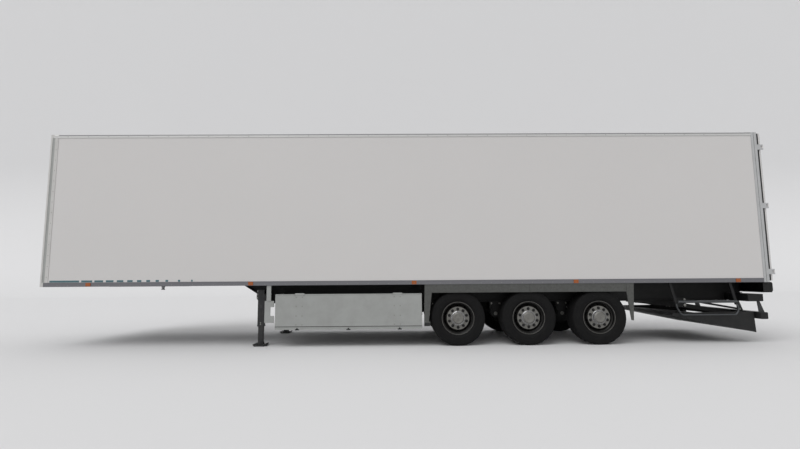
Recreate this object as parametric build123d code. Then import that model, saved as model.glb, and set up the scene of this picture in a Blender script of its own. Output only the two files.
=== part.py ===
from build123d import *
import math
import os

# A three-axle box semi trailer with a folded tail lift under the rear, in millimetres.
# Pieces are drawn with x = 0 at the front wall, +X to the rear, y = 0 on the middle
# line and z = 0 on the ground. The photographed side is the -Y side. On export all
# are moved by -middle_x, so that the origin lies under the middle of the whole length.

# Whole vehicle
body_length = 13600
body_width = 2600
body_height = 4000
floor_height = 1265
hinge_reach = 42

# Box walls
wall_thickness = 60
wall_inset = 6
front_wall_thickness = 90
roof_thickness = 85
roof_inset = 10
floor_thickness = 85
kick_height = 300
kick_thickness = 6

# Rails and posts of the box
bottom_rail_z = 1122
bottom_rail_height = 78
rail_web = 6
rail_flange = 4
roof_rail_height = 74
roof_cap_height = 8
roof_cap_length = 100
roof_rail_radius = 14
post_side = 173
post_front = 120
post_radius = 60
groove_start = 63
groove_width = 47
groove_depth = 6

# Rear frame and doors
rear_frame_depth = 105
rear_sill_height = 190
rear_sill_depth = 168
rear_sill_inset = 38
rear_sill_wall = 8
door_seal_gap = 6
door_thickness = 72
door_edge_inset = 30
door_middle_gap = 12
door_bottom_gap = 28
door_top_gap = 25
hinge_pin_radius = 6
hinge_pin_inset = 12
knuckle_radius = 12
pin_clearance = 0.05
hinge_low_gap = 167
hinge_top_gap = 275
hinge_blade_height = 44
hinge_bracket_height = 100
hinge_blade_length = 330
hinge_blade_thickness = 8
hinge_plate_gap = 12
kingpin_head = 20
kingpin_head_reach = 50
plate_turn_up = 60
lock_rod_radius = 13.5
lock_rod_offsets = (270, 980)
lock_channel_width = 44
lock_channel_depth = 18
lock_handle_z = 1720
lock_handle_length = 420

# Chassis
beam_y = 650
beam_flange_width = 130
beam_flange = 12
beam_web = 8
beam_bottom_z = 765
beam_front_x = 150
beam_rear_gap = 500
neck_slope_length = 560
deep_start_gap = 116
cross_height = 50
cross_width = 60
cross_wall = 6
cross_first_x = 330
cross_pitch = 570
cross_rear_gap = 700

# Coupling
plate_front_x = 900
plate_rear_x = 2500
plate_thickness = 10
plate_half_width = 720
kingpin_x = 1650
kingpin_collar_radius = 36.5
kingpin_collar_length = 35
kingpin_neck_radius = 25.4
kingpin_neck_length = 24
kingpin_end_radius = 35.5
kingpin_end_length = 25

# Landing legs
leg_x = 4024
leg_y = 1020
leg_tube = 116
leg_inner = 90
leg_tube_bottom_z = 360
leg_tube_top_z = 1040
foot_length = 248
foot_width = 240
foot_height = 100
leg_wall = 6
drive_shaft_z = 915
drive_shaft_radius = 17
shaft_hole_gap = 5
leg_gusset = 12
leg_gusset_reach = 60
leg_gusset_rise = 120
leg_gusset_shoulder = 40
leg_rib_gap = 28
foot_pad = 20
foot_toe = 34
foot_rim = 46
foot_bend = 70
foot_ear_top = 30
gear_length = 70
gear_drop = 30
gear_rise = 40
crank_radius = 12
crank_bar = 24
crank_bar_thickness = 14
crank_throw = 150
crank_gap = 60
crank_grip = 60

# Wheels and axles
bogie_setback = 5893
axle_pitch = 1310
axle_count = 3
tyre_radius = 498
tyre_width = 385
tyre_outer_y = 1275
rim_flange_radius = 298.5
rim_seat_radius = 285.7
rim_half_width = 149
rim_wall = 8.7
rim_lip = 12
rim_lip_root = 5
rim_lip_thickness = 9
rim_drop = 24
rim_well = (0, 20, 80, 95)
disc_cone_y = 78
disc_foot_gap = 32
disc_offset = 120
disc_thickness = 14
disc_face_radius = 210
vent_count = 10
vent_radius = 20
vent_circle_radius = 232
hub_spigot_radius = 140
hub_cap_radius = 108
hub_cap_length = 62
hub_cap_edge = 18
hub_cap_slope = 14
hub_flange_radius = 205
hub_flange = 18
hub_flange_slope = 16
hub_barrel_radius = 95
spindle_radius = 45
spindle_gap = 10
axle_tube_radius = 63.5
axle_flange_radius = 90
axle_flange = 14
axle_flange_gap = 90
tyre_shoulder = 22
tyre_shoulder_run = 20
tyre_shoulder_bulge = 8
tyre_shoulder_drop = 44
tyre_side_drop = 100
tyre_bead_drop = 150
tyre_flank_drop = 180
tyre_crown_edge = 14
brake_disc_radius = 215
brake_disc_width = 45
brake_disc_y = 930
brake_gap = 6
caliper_half_length = 95
caliper_inner = 60
caliper_outer = 34
caliper_z = (110, 240)
caliper_foot_half = 60
caliper_foot_z = (70, 130)
chamber_radius = 82
chamber_length = 132
chamber_z = 175

# Suspension
arm_half_width = 35
arm_pivot_reach = 500
arm_tail_reach = 470
arm_height = 50
arm_tail_drop = 20
arm_pivot_z = 540
spring_reach = 380
spring_radius = 145
arm_eye_radius = 38
arm_pin_radius = 20
arm_seat = (110, 120)
arm_bend = 130
arm_pivot_half = 32
hanger_length = 200
hanger_width = 110
hanger_wall = 8
hanger_foot_half = 60
spring_section = ((0.55, 0), (0.62, 0.4), (0.96, 0.45), (1, 0.6), (1, 0.85), (0.93, 1))
tank_radius = 120
tank_half_length = 430
tank_edge = 40

# Side equipment
box_leg_gap = 316
box_wheel_gap = 667
box_bottom_z = 318
box_floor_thickness = 15
box_wall_thickness = 25
box_inset = 45
flap_top_z = 960
flap_thickness = 25
flap_inset = 8
flap_pin_inset = 10
flap_hinge_z = 966
flap_clearance = 5
flap_ear = 10
flap_pin_radius = 5
box_rail_height = 40
box_rail_depth = 30
strap_slot = 34
strap_inset = 450
latch_width = 80
latch_inset = 412
latch_drop = 12
strap_width = 150
portal_depth = 20
portal_sheet = 5
portal_top_z = 968
portal_front_gap = 614
portal_rear_gap = 646
portal_foot_z = 444
portal_lip = 8
portal_lean = 16
portal_step = (95, 79)
portal_front_bend = (69, 129)
portal_rear_bend = (142, 76, 35)
side_plate_thickness = 20
side_plate_inset = 50
side_plate_gap = 23
side_plate_length = 171
side_plate_z = (441, 839)
side_plate_notch = 67
side_plate_notch_z = (566, 727)
side_post_x = (34, 114)
side_post_rib = 10
guard_front_gap = 1306
guard_rear_gap = 204
guard_bar_z = 770
guard_bar_radius = 24
guard_loop_z = 530
guard_loop_radius = 13
guard_loop_bend = 62
guard_inset = 36
guard_loop_start = (34, 40)
guard_loop_end = (30, 140)
hanger_lean = 50
hanger_seat = 8
hanger_bar_width = 50
hanger_bar_thickness = 12
lamp_front_stations = (915, 3889, 6899)
lamp_rear_gaps = (3698, 669)

# Rear equipment
carrier_length = 283
carrier_bottom_z = 770
carrier_top_z = 905
carrier_inset = 20
carrier_corner = 12
bumper_overlap = 53
bumper_depth = 141
bumper_inset = 50
bumper_corner = 18
bumper_bracket_half = 10
bumper_bracket = (60, 48)
bumper_bracket_foot = (15, 16)
bumper_bracket_top = 63
tail_lamp_inset = 80
tail_lamp_length = 400
tail_lamp_z = (790, 885)
tail_lamp_recess = 13
tail_lamp_depth = 35
bumper_bottom_z = 441
bumper_top_z = 567
lamp_height = 66
lamp_length = 90
lamp_depth = 8
lamp_corner = 6

# Tail lift, folded and tucked under the rear
lift_pivot_gap = 1000
lift_pivot_z = 690
lift_hinge_gap = 70
lift_hinge_z = 500
lift_arm_y = 850
lift_arm_width = 50
lift_arm_height = 80
lift_link_rise = 110
lift_link_y = 925
lift_pin_radius = 18
lift_beam_setback = 110
lift_beam_half = 55
lift_beam_reach = 1000
lift_ear = 12
lift_eye_radius = 45
link_pin_radius = 12
link_eye_radius = 26
link_width = 24
link_height = 36
lift_tube_radius = 32
lift_tube_share = 0.72
leaf_inset = 150
leaf_front_reach = 390
leaf_front_z = 511
leaf_rear_reach = 115
leaf_rear_z = 193
leaf_root_top_z = 574
leaf_root_run = 230
leaf_lug = 14
leaf_kerb = 20

# Worked out from the values above
middle_x = (body_length + hinge_reach) / 2
deep_start_x = leg_x + deep_start_gap
neck_end_x = deep_start_x - neck_slope_length
axle_x = body_length - bogie_setback
box_front_x = leg_x + box_leg_gap
box_rear_x = axle_x - box_wheel_gap
strap_x = (box_front_x + strap_inset, box_rear_x - strap_inset)
beam_rear_x = body_length - beam_rear_gap
cross_count = int((body_length - cross_first_x - cross_rear_gap) / cross_pitch) + 1
carrier_front_x = beam_rear_x
carrier_rear_x = carrier_front_x + carrier_length
bumper_front_x = carrier_rear_x - bumper_overlap
bumper_rear_x = bumper_front_x + bumper_depth
lift_pivot_x = beam_rear_x - lift_pivot_gap
lift_hinge_x = beam_rear_x + lift_hinge_gap
leaf_front_x = lift_pivot_x - leaf_front_reach
leaf_rear_x = lift_hinge_x + leaf_rear_reach
guard_front_x = beam_rear_x - guard_front_gap
guard_rear_x = beam_rear_x - guard_rear_gap
door_bottom_z = bottom_rail_z + door_bottom_gap
door_top_z = body_height - door_top_gap
hinge_heights = (
    door_bottom_z + hinge_low_gap, (door_bottom_z + door_top_z) / 2, door_top_z - hinge_top_gap)
half_width = body_width / 2
hinge_pin_y = half_width - hinge_pin_inset
rear_sill_half_width = half_width - rear_sill_inset
box_half_width = half_width - box_inset
flap_outer_y = half_width - flap_inset
carrier_half_width = half_width - carrier_inset
bumper_half_width = half_width - bumper_inset
leaf_half_width = half_width - leaf_inset
tail_lamp_outer_y = carrier_half_width - tail_lamp_inset
tail_lamp_y = (tail_lamp_outer_y - tail_lamp_length, tail_lamp_outer_y)
lamp_stations = [*lamp_front_stations, *(body_length - gap for gap in lamp_rear_gaps)]
door_face_x = body_length
door_inner_x = door_face_x - door_thickness
frame_rear_x = door_inner_x - door_seal_gap
frame_front_x = frame_rear_x - rear_frame_depth
hinge_pin_x = body_length + hinge_reach - knuckle_radius
wall_outer_y = half_width - wall_inset
wall_inner_y = wall_outer_y - wall_thickness
floor_half_width = wall_inner_y - kick_thickness
bottom_rail_top_z = bottom_rail_z + bottom_rail_height
roof_rail_z = body_height - roof_rail_height
roof_bottom_z = body_height - roof_inset - roof_thickness
floor_bottom_z = floor_height - floor_thickness
neck_bottom_z = bottom_rail_z - 2
beam_top_z = floor_bottom_z
axle_z = tyre_radius
leg_bore_top_z = drive_shaft_z - 60
wheel_y = tyre_outer_y - tyre_width / 2
flap_pin_y = flap_outer_y - flap_pin_inset
axle_stations = [axle_x + index * axle_pitch for index in range(axle_count)]
cross_stations = [cross_first_x + index * cross_pitch for index in range(cross_count)]
SIDES = ((-1, "left"), (1, "right"))

os.makedirs("parts", exist_ok=True)


def block(x_span, y_span, z_span):
    """A box between low and high values along each axis."""
    size = [high - low for low, high in (x_span, y_span, z_span)]
    corner = Pos(x_span[0], y_span[0], z_span[0])
    return corner * Box(*size, align=(Align.MIN, Align.MIN, Align.MIN))


def side_block(side, x_span, y_span, z_span):
    """A box whose y values are distances from the middle line on one side."""
    if side > 0:
        return block(x_span, y_span, z_span)
    return block(x_span, (-y_span[1], -y_span[0]), z_span)


def side_profile(points, y_low, y_high):
    """An outline of (x, z) points drawn out from y_low to y_high."""
    plane = Plane(origin=(0, y_high, 0), x_dir=(1, 0, 0), z_dir=(0, -1, 0))
    outline = make_face(Polyline(*points, close=True))
    return extrude(plane * outline, amount=y_high - y_low)


def side_profile_at(side, points, y_near, y_far):
    """The same on one side, with y given as distances from the middle line."""
    if side > 0:
        return side_profile(points, y_near, y_far)
    return side_profile(points, -y_far, -y_near)


def plan_profile(points, z_low, z_high):
    """An outline of (x, y) points raised from z_low to z_high."""
    outline = make_face(Polyline(*points, close=True))
    return extrude(Pos(0, 0, z_low) * outline, amount=z_high - z_low)


def round_bar_y(x, z, y_low, y_high, radius):
    """A round bar along Y."""
    length = y_high - y_low
    return Pos(x, y_low + length / 2, z) * Rot(90, 0, 0) * Cylinder(radius, length)


def round_bar_z(x, y, z_low, z_high, radius):
    """A round bar along Z."""
    return Pos(x, y, (z_low + z_high) / 2) * Cylinder(radius, z_high - z_low)


def turned(points):
    """A solid turned about the Y axis from (y, radius) points."""
    outline = make_face(Polyline(*[(radius, y, 0) for y, radius in points], close=True))
    return revolve(outline, axis=Axis.Y)


def bent_tube(points, radius, bend):
    """A round bar that follows straight runs with one bend radius."""
    path = FilletPolyline(*points, radius=bend)
    start = Plane(origin=path @ 0, z_dir=path % 0)
    return sweep(start * Circle(radius), path=path)


def write(name, shape):
    """One STEP file for each node, moved to the shared origin."""
    moved = Pos(-middle_x, 0, 0) * shape
    export_step(moved, f"parts/{name}.step")


def pieces(*shapes):
    """Solids that share a node without touching."""
    solids = []
    for shape in shapes:
        solids.extend(shape.solids())
    return Compound(children=solids)


# The box


def floor_deck():
    span = (front_wall_thickness, frame_front_x)
    return block(span, (-floor_half_width, floor_half_width), (floor_bottom_z, floor_height))


def side_walls():
    """Side walls, each with a kick strip that stands beside the floor."""
    span = (post_side, frame_front_x)
    heights = (bottom_rail_top_z, roof_rail_z)
    walls = []
    for side, _ in SIDES:
        wall = side_block(side, span, (wall_inner_y, wall_outer_y), heights)
        kick_z = (bottom_rail_top_z, floor_height + kick_height)
        kick = side_block(side, span, (floor_half_width, wall_inner_y), kick_z)
        walls.append(wall + kick)
    return pieces(*walls)


def front_wall():
    half = half_width - post_front
    return block((4, front_wall_thickness), (-half, half), (bottom_rail_top_z, roof_rail_z))


def front_frame():
    """Sill, header and two corner posts with their groove."""
    depth = (0, front_wall_thickness)
    sill_z = (bottom_rail_z, bottom_rail_top_z)
    header_z = (roof_rail_z, body_height - roof_cap_height)
    post_z = (bottom_rail_top_z, roof_rail_z)
    width = (-half_width, half_width)
    ring = block(depth, width, sill_z) + block(depth, width, header_z)
    for side, _ in SIDES:
        ring = ring + side_block(side, depth, (half_width - post_front, half_width), post_z)
        ring = ring + side_block(side, (0, post_side), (wall_inner_y, half_width), post_z)
        groove_x = (groove_start, groove_start + groove_width)
        groove_y = (half_width - groove_depth, half_width + 1)
        ring = ring - side_block(side, groove_x, groove_y, post_z)
    corners = ring.edges().filter_by(Axis.Z).filter_by_position(Axis.X, -1, 1)
    corners = [edge for edge in corners if abs(abs(edge.center().Y) - half_width) < 1]
    return fillet(corners, post_radius)


def roof_panel():
    span = (front_wall_thickness, frame_front_x)
    return block(span, (-wall_inner_y, wall_inner_y), (roof_bottom_z, body_height - roof_inset))


def roof_rails():
    """Edge rails of the roof, each with a small cap near both ends."""
    top = body_height - roof_cap_height
    span = (front_wall_thickness, frame_front_x)
    half_cap = roof_cap_length / 2
    rails = []
    for side, _ in SIDES:
        rail = side_block(side, span, (wall_inner_y, half_width), (roof_rail_z, top))
        edge = rail.edges().filter_by(Axis.X).sort_by(Axis.Z)[-2:].sort_by(Axis.Y)
        rail = fillet(edge[-1] if side > 0 else edge[0], roof_rail_radius)
        for centre in (span[0] + half_cap, span[1] - half_cap):
            cap_x = (centre - half_cap, centre + half_cap)
            cap_y = (wall_inner_y + 10, half_width - roof_rail_radius - 2)
            rail = rail + side_block(side, cap_x, cap_y, (top - 1, body_height))
        rails.append(rail)
    return pieces(*rails)


def bottom_rails():
    """Channel rails along the foot of the side walls, open to the inside."""
    rails = []
    for side, _ in SIDES:
        span = (front_wall_thickness, frame_front_x)
        rail = side_block(side, span, (wall_inner_y, half_width), (bottom_rail_z, bottom_rail_top_z))
        inside_y = (wall_inner_y - 1, half_width - rail_web)
        inside_z = (bottom_rail_z + rail_flange, bottom_rail_top_z - rail_flange)
        rails.append(rail - side_block(side, (span[0] - 1, span[1] + 1), inside_y, inside_z))
    return pieces(*rails)


def hinge_bracket(side, z):
    """Bracket on the rear post with two knuckles and their pin."""
    half = hinge_bracket_height / 2
    plate_x = (frame_rear_x, door_face_x - hinge_plate_gap)
    bracket = side_block(side, plate_x, (hinge_pin_y - knuckle_radius, half_width), (z - half, z + half))
    knuckle_z = hinge_blade_height / 2 + 1
    y = side * hinge_pin_y
    for low, high in ((z - half, z - knuckle_z), (z + knuckle_z, z + half)):
        bracket = bracket + round_bar_z(hinge_pin_x, y, low, high, knuckle_radius)
        arm_y = (hinge_pin_y - knuckle_radius, hinge_pin_y + knuckle_radius)
        bracket = bracket + side_block(side, (plate_x[1], hinge_pin_x), arm_y, (low, high))
    return bracket + round_bar_z(hinge_pin_x, y, z - half, z + half, hinge_pin_radius)


def rear_frame():
    """Door frame at the rear, with the fixed halves of the hinges."""
    depth = (frame_front_x, frame_rear_x)
    past = (depth[0] - 1, depth[1] + 1)
    width = (-half_width, half_width)
    outer = block(depth, width, (bottom_rail_z, body_height - roof_cap_height))
    opening = block(past, (-wall_inner_y, wall_inner_y), (floor_height, roof_bottom_z))
    frame = outer - opening
    for side, _ in SIDES:
        for z in hinge_heights:
            frame = frame + hinge_bracket(side, z)
    return frame


def rear_sill():
    """Deep box sill below the door frame, closed towards the rear and open in front."""
    low = bottom_rail_z - rear_sill_height
    depth = (frame_front_x, frame_front_x + rear_sill_depth)
    half = rear_sill_half_width
    sill = block(depth, (-half, half), (low, bottom_rail_z))
    inside_x = (depth[0] - 1, depth[1] - rear_sill_wall)
    inside_z = (low + rear_sill_wall, bottom_rail_z - rear_sill_wall)
    edges = sill.edges().filter_by(Axis.Y).sort_by(Axis.X)[-2:].sort_by(Axis.Z)[:1]
    sill = fillet(edges, bumper_corner)
    return sill - block(inside_x, (-half + rear_sill_wall, half - rear_sill_wall), inside_z)


def rear_door(side):
    """Insulated door leaf with its hinge blades and the channels for its lock rods."""
    near = door_middle_gap / 2
    far = half_width - door_edge_inset
    door = side_block(side, (door_inner_x, door_face_x), (near, far), (door_bottom_z, door_top_z))
    for offset in lock_rod_offsets:
        y = half_width - offset
        channel_y = (y - lock_channel_width / 2, y + lock_channel_width / 2)
        channel_x = (door_face_x - lock_channel_depth, door_face_x + 1)
        door = door - side_block(side, channel_x, channel_y, (door_bottom_z - 1, door_top_z + 1))
    for z in hinge_heights:
        heights = (z - hinge_blade_height / 2, z + hinge_blade_height / 2)
        blade_x = (door_face_x - 1, door_face_x + hinge_blade_thickness)
        blade_y = (far - hinge_blade_length, far)
        rod_y = half_width - lock_rod_offsets[0]
        blade = side_block(side, blade_x, blade_y, heights)
        crank = [
            (door_face_x, far - 20),
            (door_face_x, far + 2),
            (hinge_pin_x - 6, hinge_pin_y),
            (hinge_pin_x + 4, hinge_pin_y - 10),
            (door_face_x + hinge_blade_thickness, far - 34)]
        blade = blade + plan_profile([(x, side * y) for x, y in crank], *heights)
        blade = blade + round_bar_z(hinge_pin_x, side * hinge_pin_y, *heights, knuckle_radius)
        slot_y = (rod_y - lock_channel_width / 2, rod_y + lock_channel_width / 2)
        blade = blade - side_block(side, (blade_x[0] - 1, blade_x[1] + 20), slot_y, heights)
        door = door + max(blade.solids(), key=lambda solid: abs(solid.center().Y))
        bore = hinge_pin_radius + pin_clearance
        door = door - round_bar_z(hinge_pin_x, side * hinge_pin_y, heights[0] - 1, heights[1] + 1, bore)
    return door


def lock_gear(side):
    """Two lock rods in the channels of a door, each with its flat handle."""
    rods = []
    floor_x = door_face_x - lock_channel_depth
    for offset in lock_rod_offsets:
        y = side * (half_width - offset)
        x = floor_x + lock_rod_radius
        rod = round_bar_z(x, y, door_bottom_z + 4, door_top_z - 4, lock_rod_radius)
        inward = -1 if offset == lock_rod_offsets[0] else 1
        tip = y + side * inward * lock_handle_length
        low, high = min(y, tip), max(y, tip)
        handle_x = (door_face_x + 1, door_face_x + 10)
        rod = rod + block(handle_x, (low, high), (lock_handle_z - 16, lock_handle_z + 16))
        rods.append(rod)
    return pieces(*rods)


# Chassis


def main_beams():
    """Gooseneck beams: an I section that deepens behind the neck and runs out over the light carrier."""
    top = beam_top_z
    tail_z = carrier_top_z
    front_points = [
        (beam_front_x, neck_bottom_z),
        (neck_end_x, neck_bottom_z),
        (deep_start_x, beam_bottom_z),
        (beam_rear_x, beam_bottom_z)]
    web_points = front_points + [
        (beam_rear_x, tail_z),
        (frame_front_x, tail_z),
        (frame_front_x, top),
        (beam_front_x, top)]
    slope = math.atan2(neck_bottom_z - beam_bottom_z, deep_start_x - neck_end_x)
    turn = beam_flange * math.tan(slope / 2)
    flange_points = front_points + [
        (beam_rear_x, beam_bottom_z + beam_flange),
        (deep_start_x + turn, beam_bottom_z + beam_flange),
        (neck_end_x + turn, neck_bottom_z + beam_flange),
        (beam_front_x, neck_bottom_z + beam_flange)]
    beams = []
    near = beam_y - beam_flange_width / 2
    far = beam_y + beam_flange_width / 2
    width = (near, far)
    tail_top_z = tail_z + beam_flange
    end_x = (beam_rear_x - beam_flange, beam_rear_x)
    for side, _ in SIDES:
        beam = side_profile_at(side, web_points, beam_y - beam_web / 2, beam_y + beam_web / 2)
        beam = beam + side_profile_at(side, flange_points, near, far)
        beam = beam + side_block(side, (beam_front_x, frame_front_x), width, (top - beam_flange, top))
        beam = beam + side_block(side, (beam_rear_x, frame_front_x), width, (tail_z, tail_top_z))
        beam = beam + side_block(side, end_x, width, (beam_bottom_z, tail_top_z))
        for x in cross_stations:
            slot_x = (x - cross_width / 2, x + cross_width / 2)
            beam = beam - side_block(side, slot_x, (near - 1, far + 1), (top - cross_height, top + 1))
        hole_y = sorted((side * (near - 1), side * (far + 1)))
        beam = beam - round_bar_y(leg_x, drive_shaft_z, *hole_y, drive_shaft_radius + shaft_hole_gap)
        beams.append(beam)
    return pieces(*beams)


def crossmembers():
    """Channels under the floor that pass through slots in the main beams."""
    reach = half_width - rail_web
    top = floor_bottom_z
    bars = []
    for x in cross_stations:
        low_x = x - cross_width / 2
        high_x = x + cross_width / 2
        outline = [
            (low_x, top - cross_height),
            (high_x, top - cross_height),
            (high_x, top - cross_height + cross_wall),
            (low_x + cross_wall, top - cross_height + cross_wall),
            (low_x + cross_wall, top - cross_wall),
            (high_x, top - cross_wall),
            (high_x, top),
            (low_x, top)]
        bars.append(side_profile(outline, -reach, reach))
    return pieces(*bars)


def coupler_plate():
    """Rubbing plate under the neck, with its front edge turned up and a hole for the kingpin."""
    top = neck_bottom_z
    low = top - plate_thickness
    outline = [
        (plate_front_x, top),
        (plate_front_x + plate_turn_up, low),
        (plate_rear_x, low),
        (plate_rear_x, top)]
    plate = side_profile(outline, -plate_half_width, plate_half_width)
    hole = round_bar_z(kingpin_x, 0, low - 1, top + 1, kingpin_collar_radius)
    return plate - hole


def kingpin():
    """Coupling pin turned to its three diameters, with a head above the plate."""
    plate_z = neck_bottom_z - plate_thickness
    collar_z = plate_z - kingpin_collar_length
    neck_z = collar_z - kingpin_neck_length
    pin = round_bar_z(kingpin_x, 0, collar_z, neck_bottom_z, kingpin_collar_radius)
    pin = pin + round_bar_z(kingpin_x, 0, neck_z, collar_z, kingpin_neck_radius)
    pin = pin + round_bar_z(kingpin_x, 0, neck_z - kingpin_end_length, neck_z, kingpin_end_radius)
    head_z = (neck_bottom_z, neck_bottom_z + kingpin_head)
    return pin + round_bar_z(kingpin_x, 0, *head_z, kingpin_collar_radius + kingpin_head_reach)


def landing_legs():
    """Outer leg tubes, hollow below, with the gussets that carry them on the beams."""
    half = leg_tube / 2
    inside = half - leg_wall
    reach = half + leg_gusset_reach
    top = drive_shaft_z + leg_gusset_rise
    low = drive_shaft_z - leg_gusset_rise
    shoulder = drive_shaft_z - leg_gusset_shoulder
    plate = [
        (leg_x - reach, top),
        (leg_x - reach, shoulder),
        (leg_x - half, low),
        (leg_x + half, low),
        (leg_x + reach, shoulder),
        (leg_x + reach, top)]
    bore_x = (leg_x - inside, leg_x + inside)
    bore_y = (leg_y - inside, leg_y + inside)
    bore_z = (leg_tube_bottom_z - 1, leg_bore_top_z)
    tube_z = (leg_tube_bottom_z, leg_tube_top_z)
    rib_z = (leg_bore_top_z, top)
    rib_y = (beam_y + beam_flange_width / 2, leg_y - half - leg_gusset / 2)
    legs = []
    for side, _ in SIDES:
        leg = side_block(side, (leg_x - half, leg_x + half), (leg_y - half, leg_y + half), tube_z)
        leg = leg - side_block(side, bore_x, bore_y, bore_z)
        leg = leg + side_profile_at(side, plate, leg_y - half - leg_gusset, leg_y - half)
        for x in (leg_x - half - leg_rib_gap - leg_gusset, leg_x + half + leg_rib_gap):
            leg = leg + side_block(side, (x, x + leg_gusset), rib_y, rib_z)
        legs.append(leg)
    return pieces(*legs)


def landing_feet():
    """Inner leg tubes with their pivoting feet."""
    half = leg_inner / 2
    toe = foot_length / 2
    skid = [
        (leg_x - toe, foot_toe),
        (leg_x - toe + foot_toe, 0),
        (leg_x + toe - foot_toe, 0),
        (leg_x + toe, foot_toe),
        (leg_x + toe - foot_pad, foot_rim),
        (leg_x + foot_bend, foot_pad),
        (leg_x - foot_bend, foot_pad),
        (leg_x - toe + foot_pad, foot_rim)]
    ear = [
        (leg_x - foot_bend, foot_pad / 2),
        (leg_x + foot_bend, foot_pad / 2),
        (leg_x + foot_ear_top, foot_height),
        (leg_x - foot_ear_top, foot_height)]
    feet = []
    for side, _ in SIDES:
        y_span = (leg_y - half, leg_y + half)
        foot = side_block(side, (leg_x - half, leg_x + half), y_span, (foot_height / 2, leg_bore_top_z))
        foot = foot + side_profile_at(side, skid, leg_y - foot_width / 2, leg_y + foot_width / 2)
        for low in (leg_y - half - leg_gusset, leg_y + half):
            foot = foot + side_profile_at(side, ear, low, low + leg_gusset)
        feet.append(foot)
    return pieces(*feet)


def landing_drive():
    """Cross shaft between the legs, the gear housing on the near leg and its crank."""
    half = leg_tube / 2
    shaft_y = leg_y - half - leg_gusset
    shaft = round_bar_y(leg_x, drive_shaft_z, -shaft_y, shaft_y, drive_shaft_radius)
    gear_x = (leg_x + half, leg_x + half + gear_length)
    gear_y = (leg_y - half, leg_y + half)
    housing = side_block(-1, gear_x, gear_y, (drive_shaft_z - gear_drop, drive_shaft_z + gear_rise))
    middle = gear_x[0] + gear_length / 2
    crank_y = -leg_y - half - crank_gap
    crank_z = drive_shaft_z - crank_throw
    bar_x = (middle - crank_bar / 2, middle + crank_bar / 2)
    bar_y = (crank_y, crank_y + crank_bar_thickness)
    housing = housing + round_bar_y(middle, drive_shaft_z, crank_y, -leg_y, crank_radius)
    housing = housing + block(bar_x, bar_y, (crank_z, drive_shaft_z))
    housing = housing + round_bar_y(middle, crank_z, crank_y - crank_grip, bar_y[1], crank_radius)
    return pieces(shaft, housing)


# Running gear


def axle_beams():
    """Axle tubes with their spindles, one across the vehicle at each axle."""
    tube_end = brake_disc_y - axle_flange_gap
    flange_end = tube_end + axle_flange
    spindle_end = wheel_y + disc_offset - spindle_gap
    outline = [
        (0, 0),
        (spindle_end, 0),
        (spindle_end, spindle_radius),
        (flange_end, spindle_radius),
        (flange_end, axle_flange_radius),
        (tube_end, axle_flange_radius),
        (tube_end, axle_tube_radius),
        (0, axle_tube_radius)]
    half = turned(outline)
    axle = half + mirror(half, about=Plane.XZ)
    return pieces(*[Pos(x, 0, axle_z) * axle for x in axle_stations])


def wheel(side):
    """Rim, disc and hub about the Y axis, with the outer face on one side."""
    seat = rim_seat_radius
    bore = seat - rim_wall
    lip = rim_flange_radius - rim_lip_thickness
    edge = rim_half_width
    drop = seat - rim_drop
    well_near, well_low, well_high, well_far = rim_well
    under = rim_lip_root - 1
    rim = [
        (edge + rim_lip, rim_flange_radius),
        (edge, rim_flange_radius),
        (edge, seat),
        (well_far, seat),
        (well_high, drop),
        (well_low, drop),
        (well_near, seat),
        (-edge, seat),
        (-edge, rim_flange_radius),
        (-edge - rim_lip, rim_flange_radius),
        (-edge - rim_lip, lip),
        (-edge - rim_lip_root, bore),
        (well_near - under, bore),
        (well_low - under, drop - rim_wall),
        (well_high + under, drop - rim_wall),
        (well_far + rim_lip_root, bore),
        (edge + rim_lip_root, bore),
        (edge + rim_lip, lip)]
    face = disc_offset + disc_thickness
    disc = [
        (disc_offset, hub_spigot_radius + 1),
        (face, hub_spigot_radius + 1),
        (face, disc_face_radius),
        (disc_cone_y, seat - disc_foot_gap),
        (disc_cone_y - disc_thickness, seat - disc_foot_gap),
        (disc_offset, disc_face_radius - rim_lip)]
    solid = turned(rim) + turned(disc)
    for index in range(vent_count):
        angle = 360 / vent_count * (index + 0.5)
        spot = Rot(0, angle, 0) * Pos(vent_circle_radius, disc_cone_y, 0) * Rot(90, 0, 0)
        solid = solid - spot * Cylinder(vent_radius, disc_offset)
    disc_near = wheel_y - brake_disc_y
    brake_outer = brake_disc_width / 2 - disc_near
    brake_inner = -brake_disc_width / 2 - disc_near
    cap = face + hub_cap_length
    collar = face + spindle_gap
    hub = [
        (disc_offset, 0),
        (cap, 0),
        (cap, hub_cap_radius - hub_cap_edge),
        (cap - hub_cap_slope, hub_cap_radius),
        (collar, hub_cap_radius),
        (collar, hub_spigot_radius),
        (disc_offset, hub_spigot_radius + 1),
        (disc_offset, hub_flange_radius),
        (disc_offset - hub_flange, hub_flange_radius),
        (disc_offset - hub_flange - hub_flange_slope, hub_barrel_radius),
        (brake_outer, hub_barrel_radius),
        (brake_outer, brake_disc_radius),
        (brake_inner, brake_disc_radius),
        (brake_inner, spindle_radius + pin_clearance),
        (disc_offset, spindle_radius + pin_clearance)]
    solid = solid + turned(hub)
    if side < 0:
        solid = mirror(solid, about=Plane.XZ)
    return solid


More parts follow.
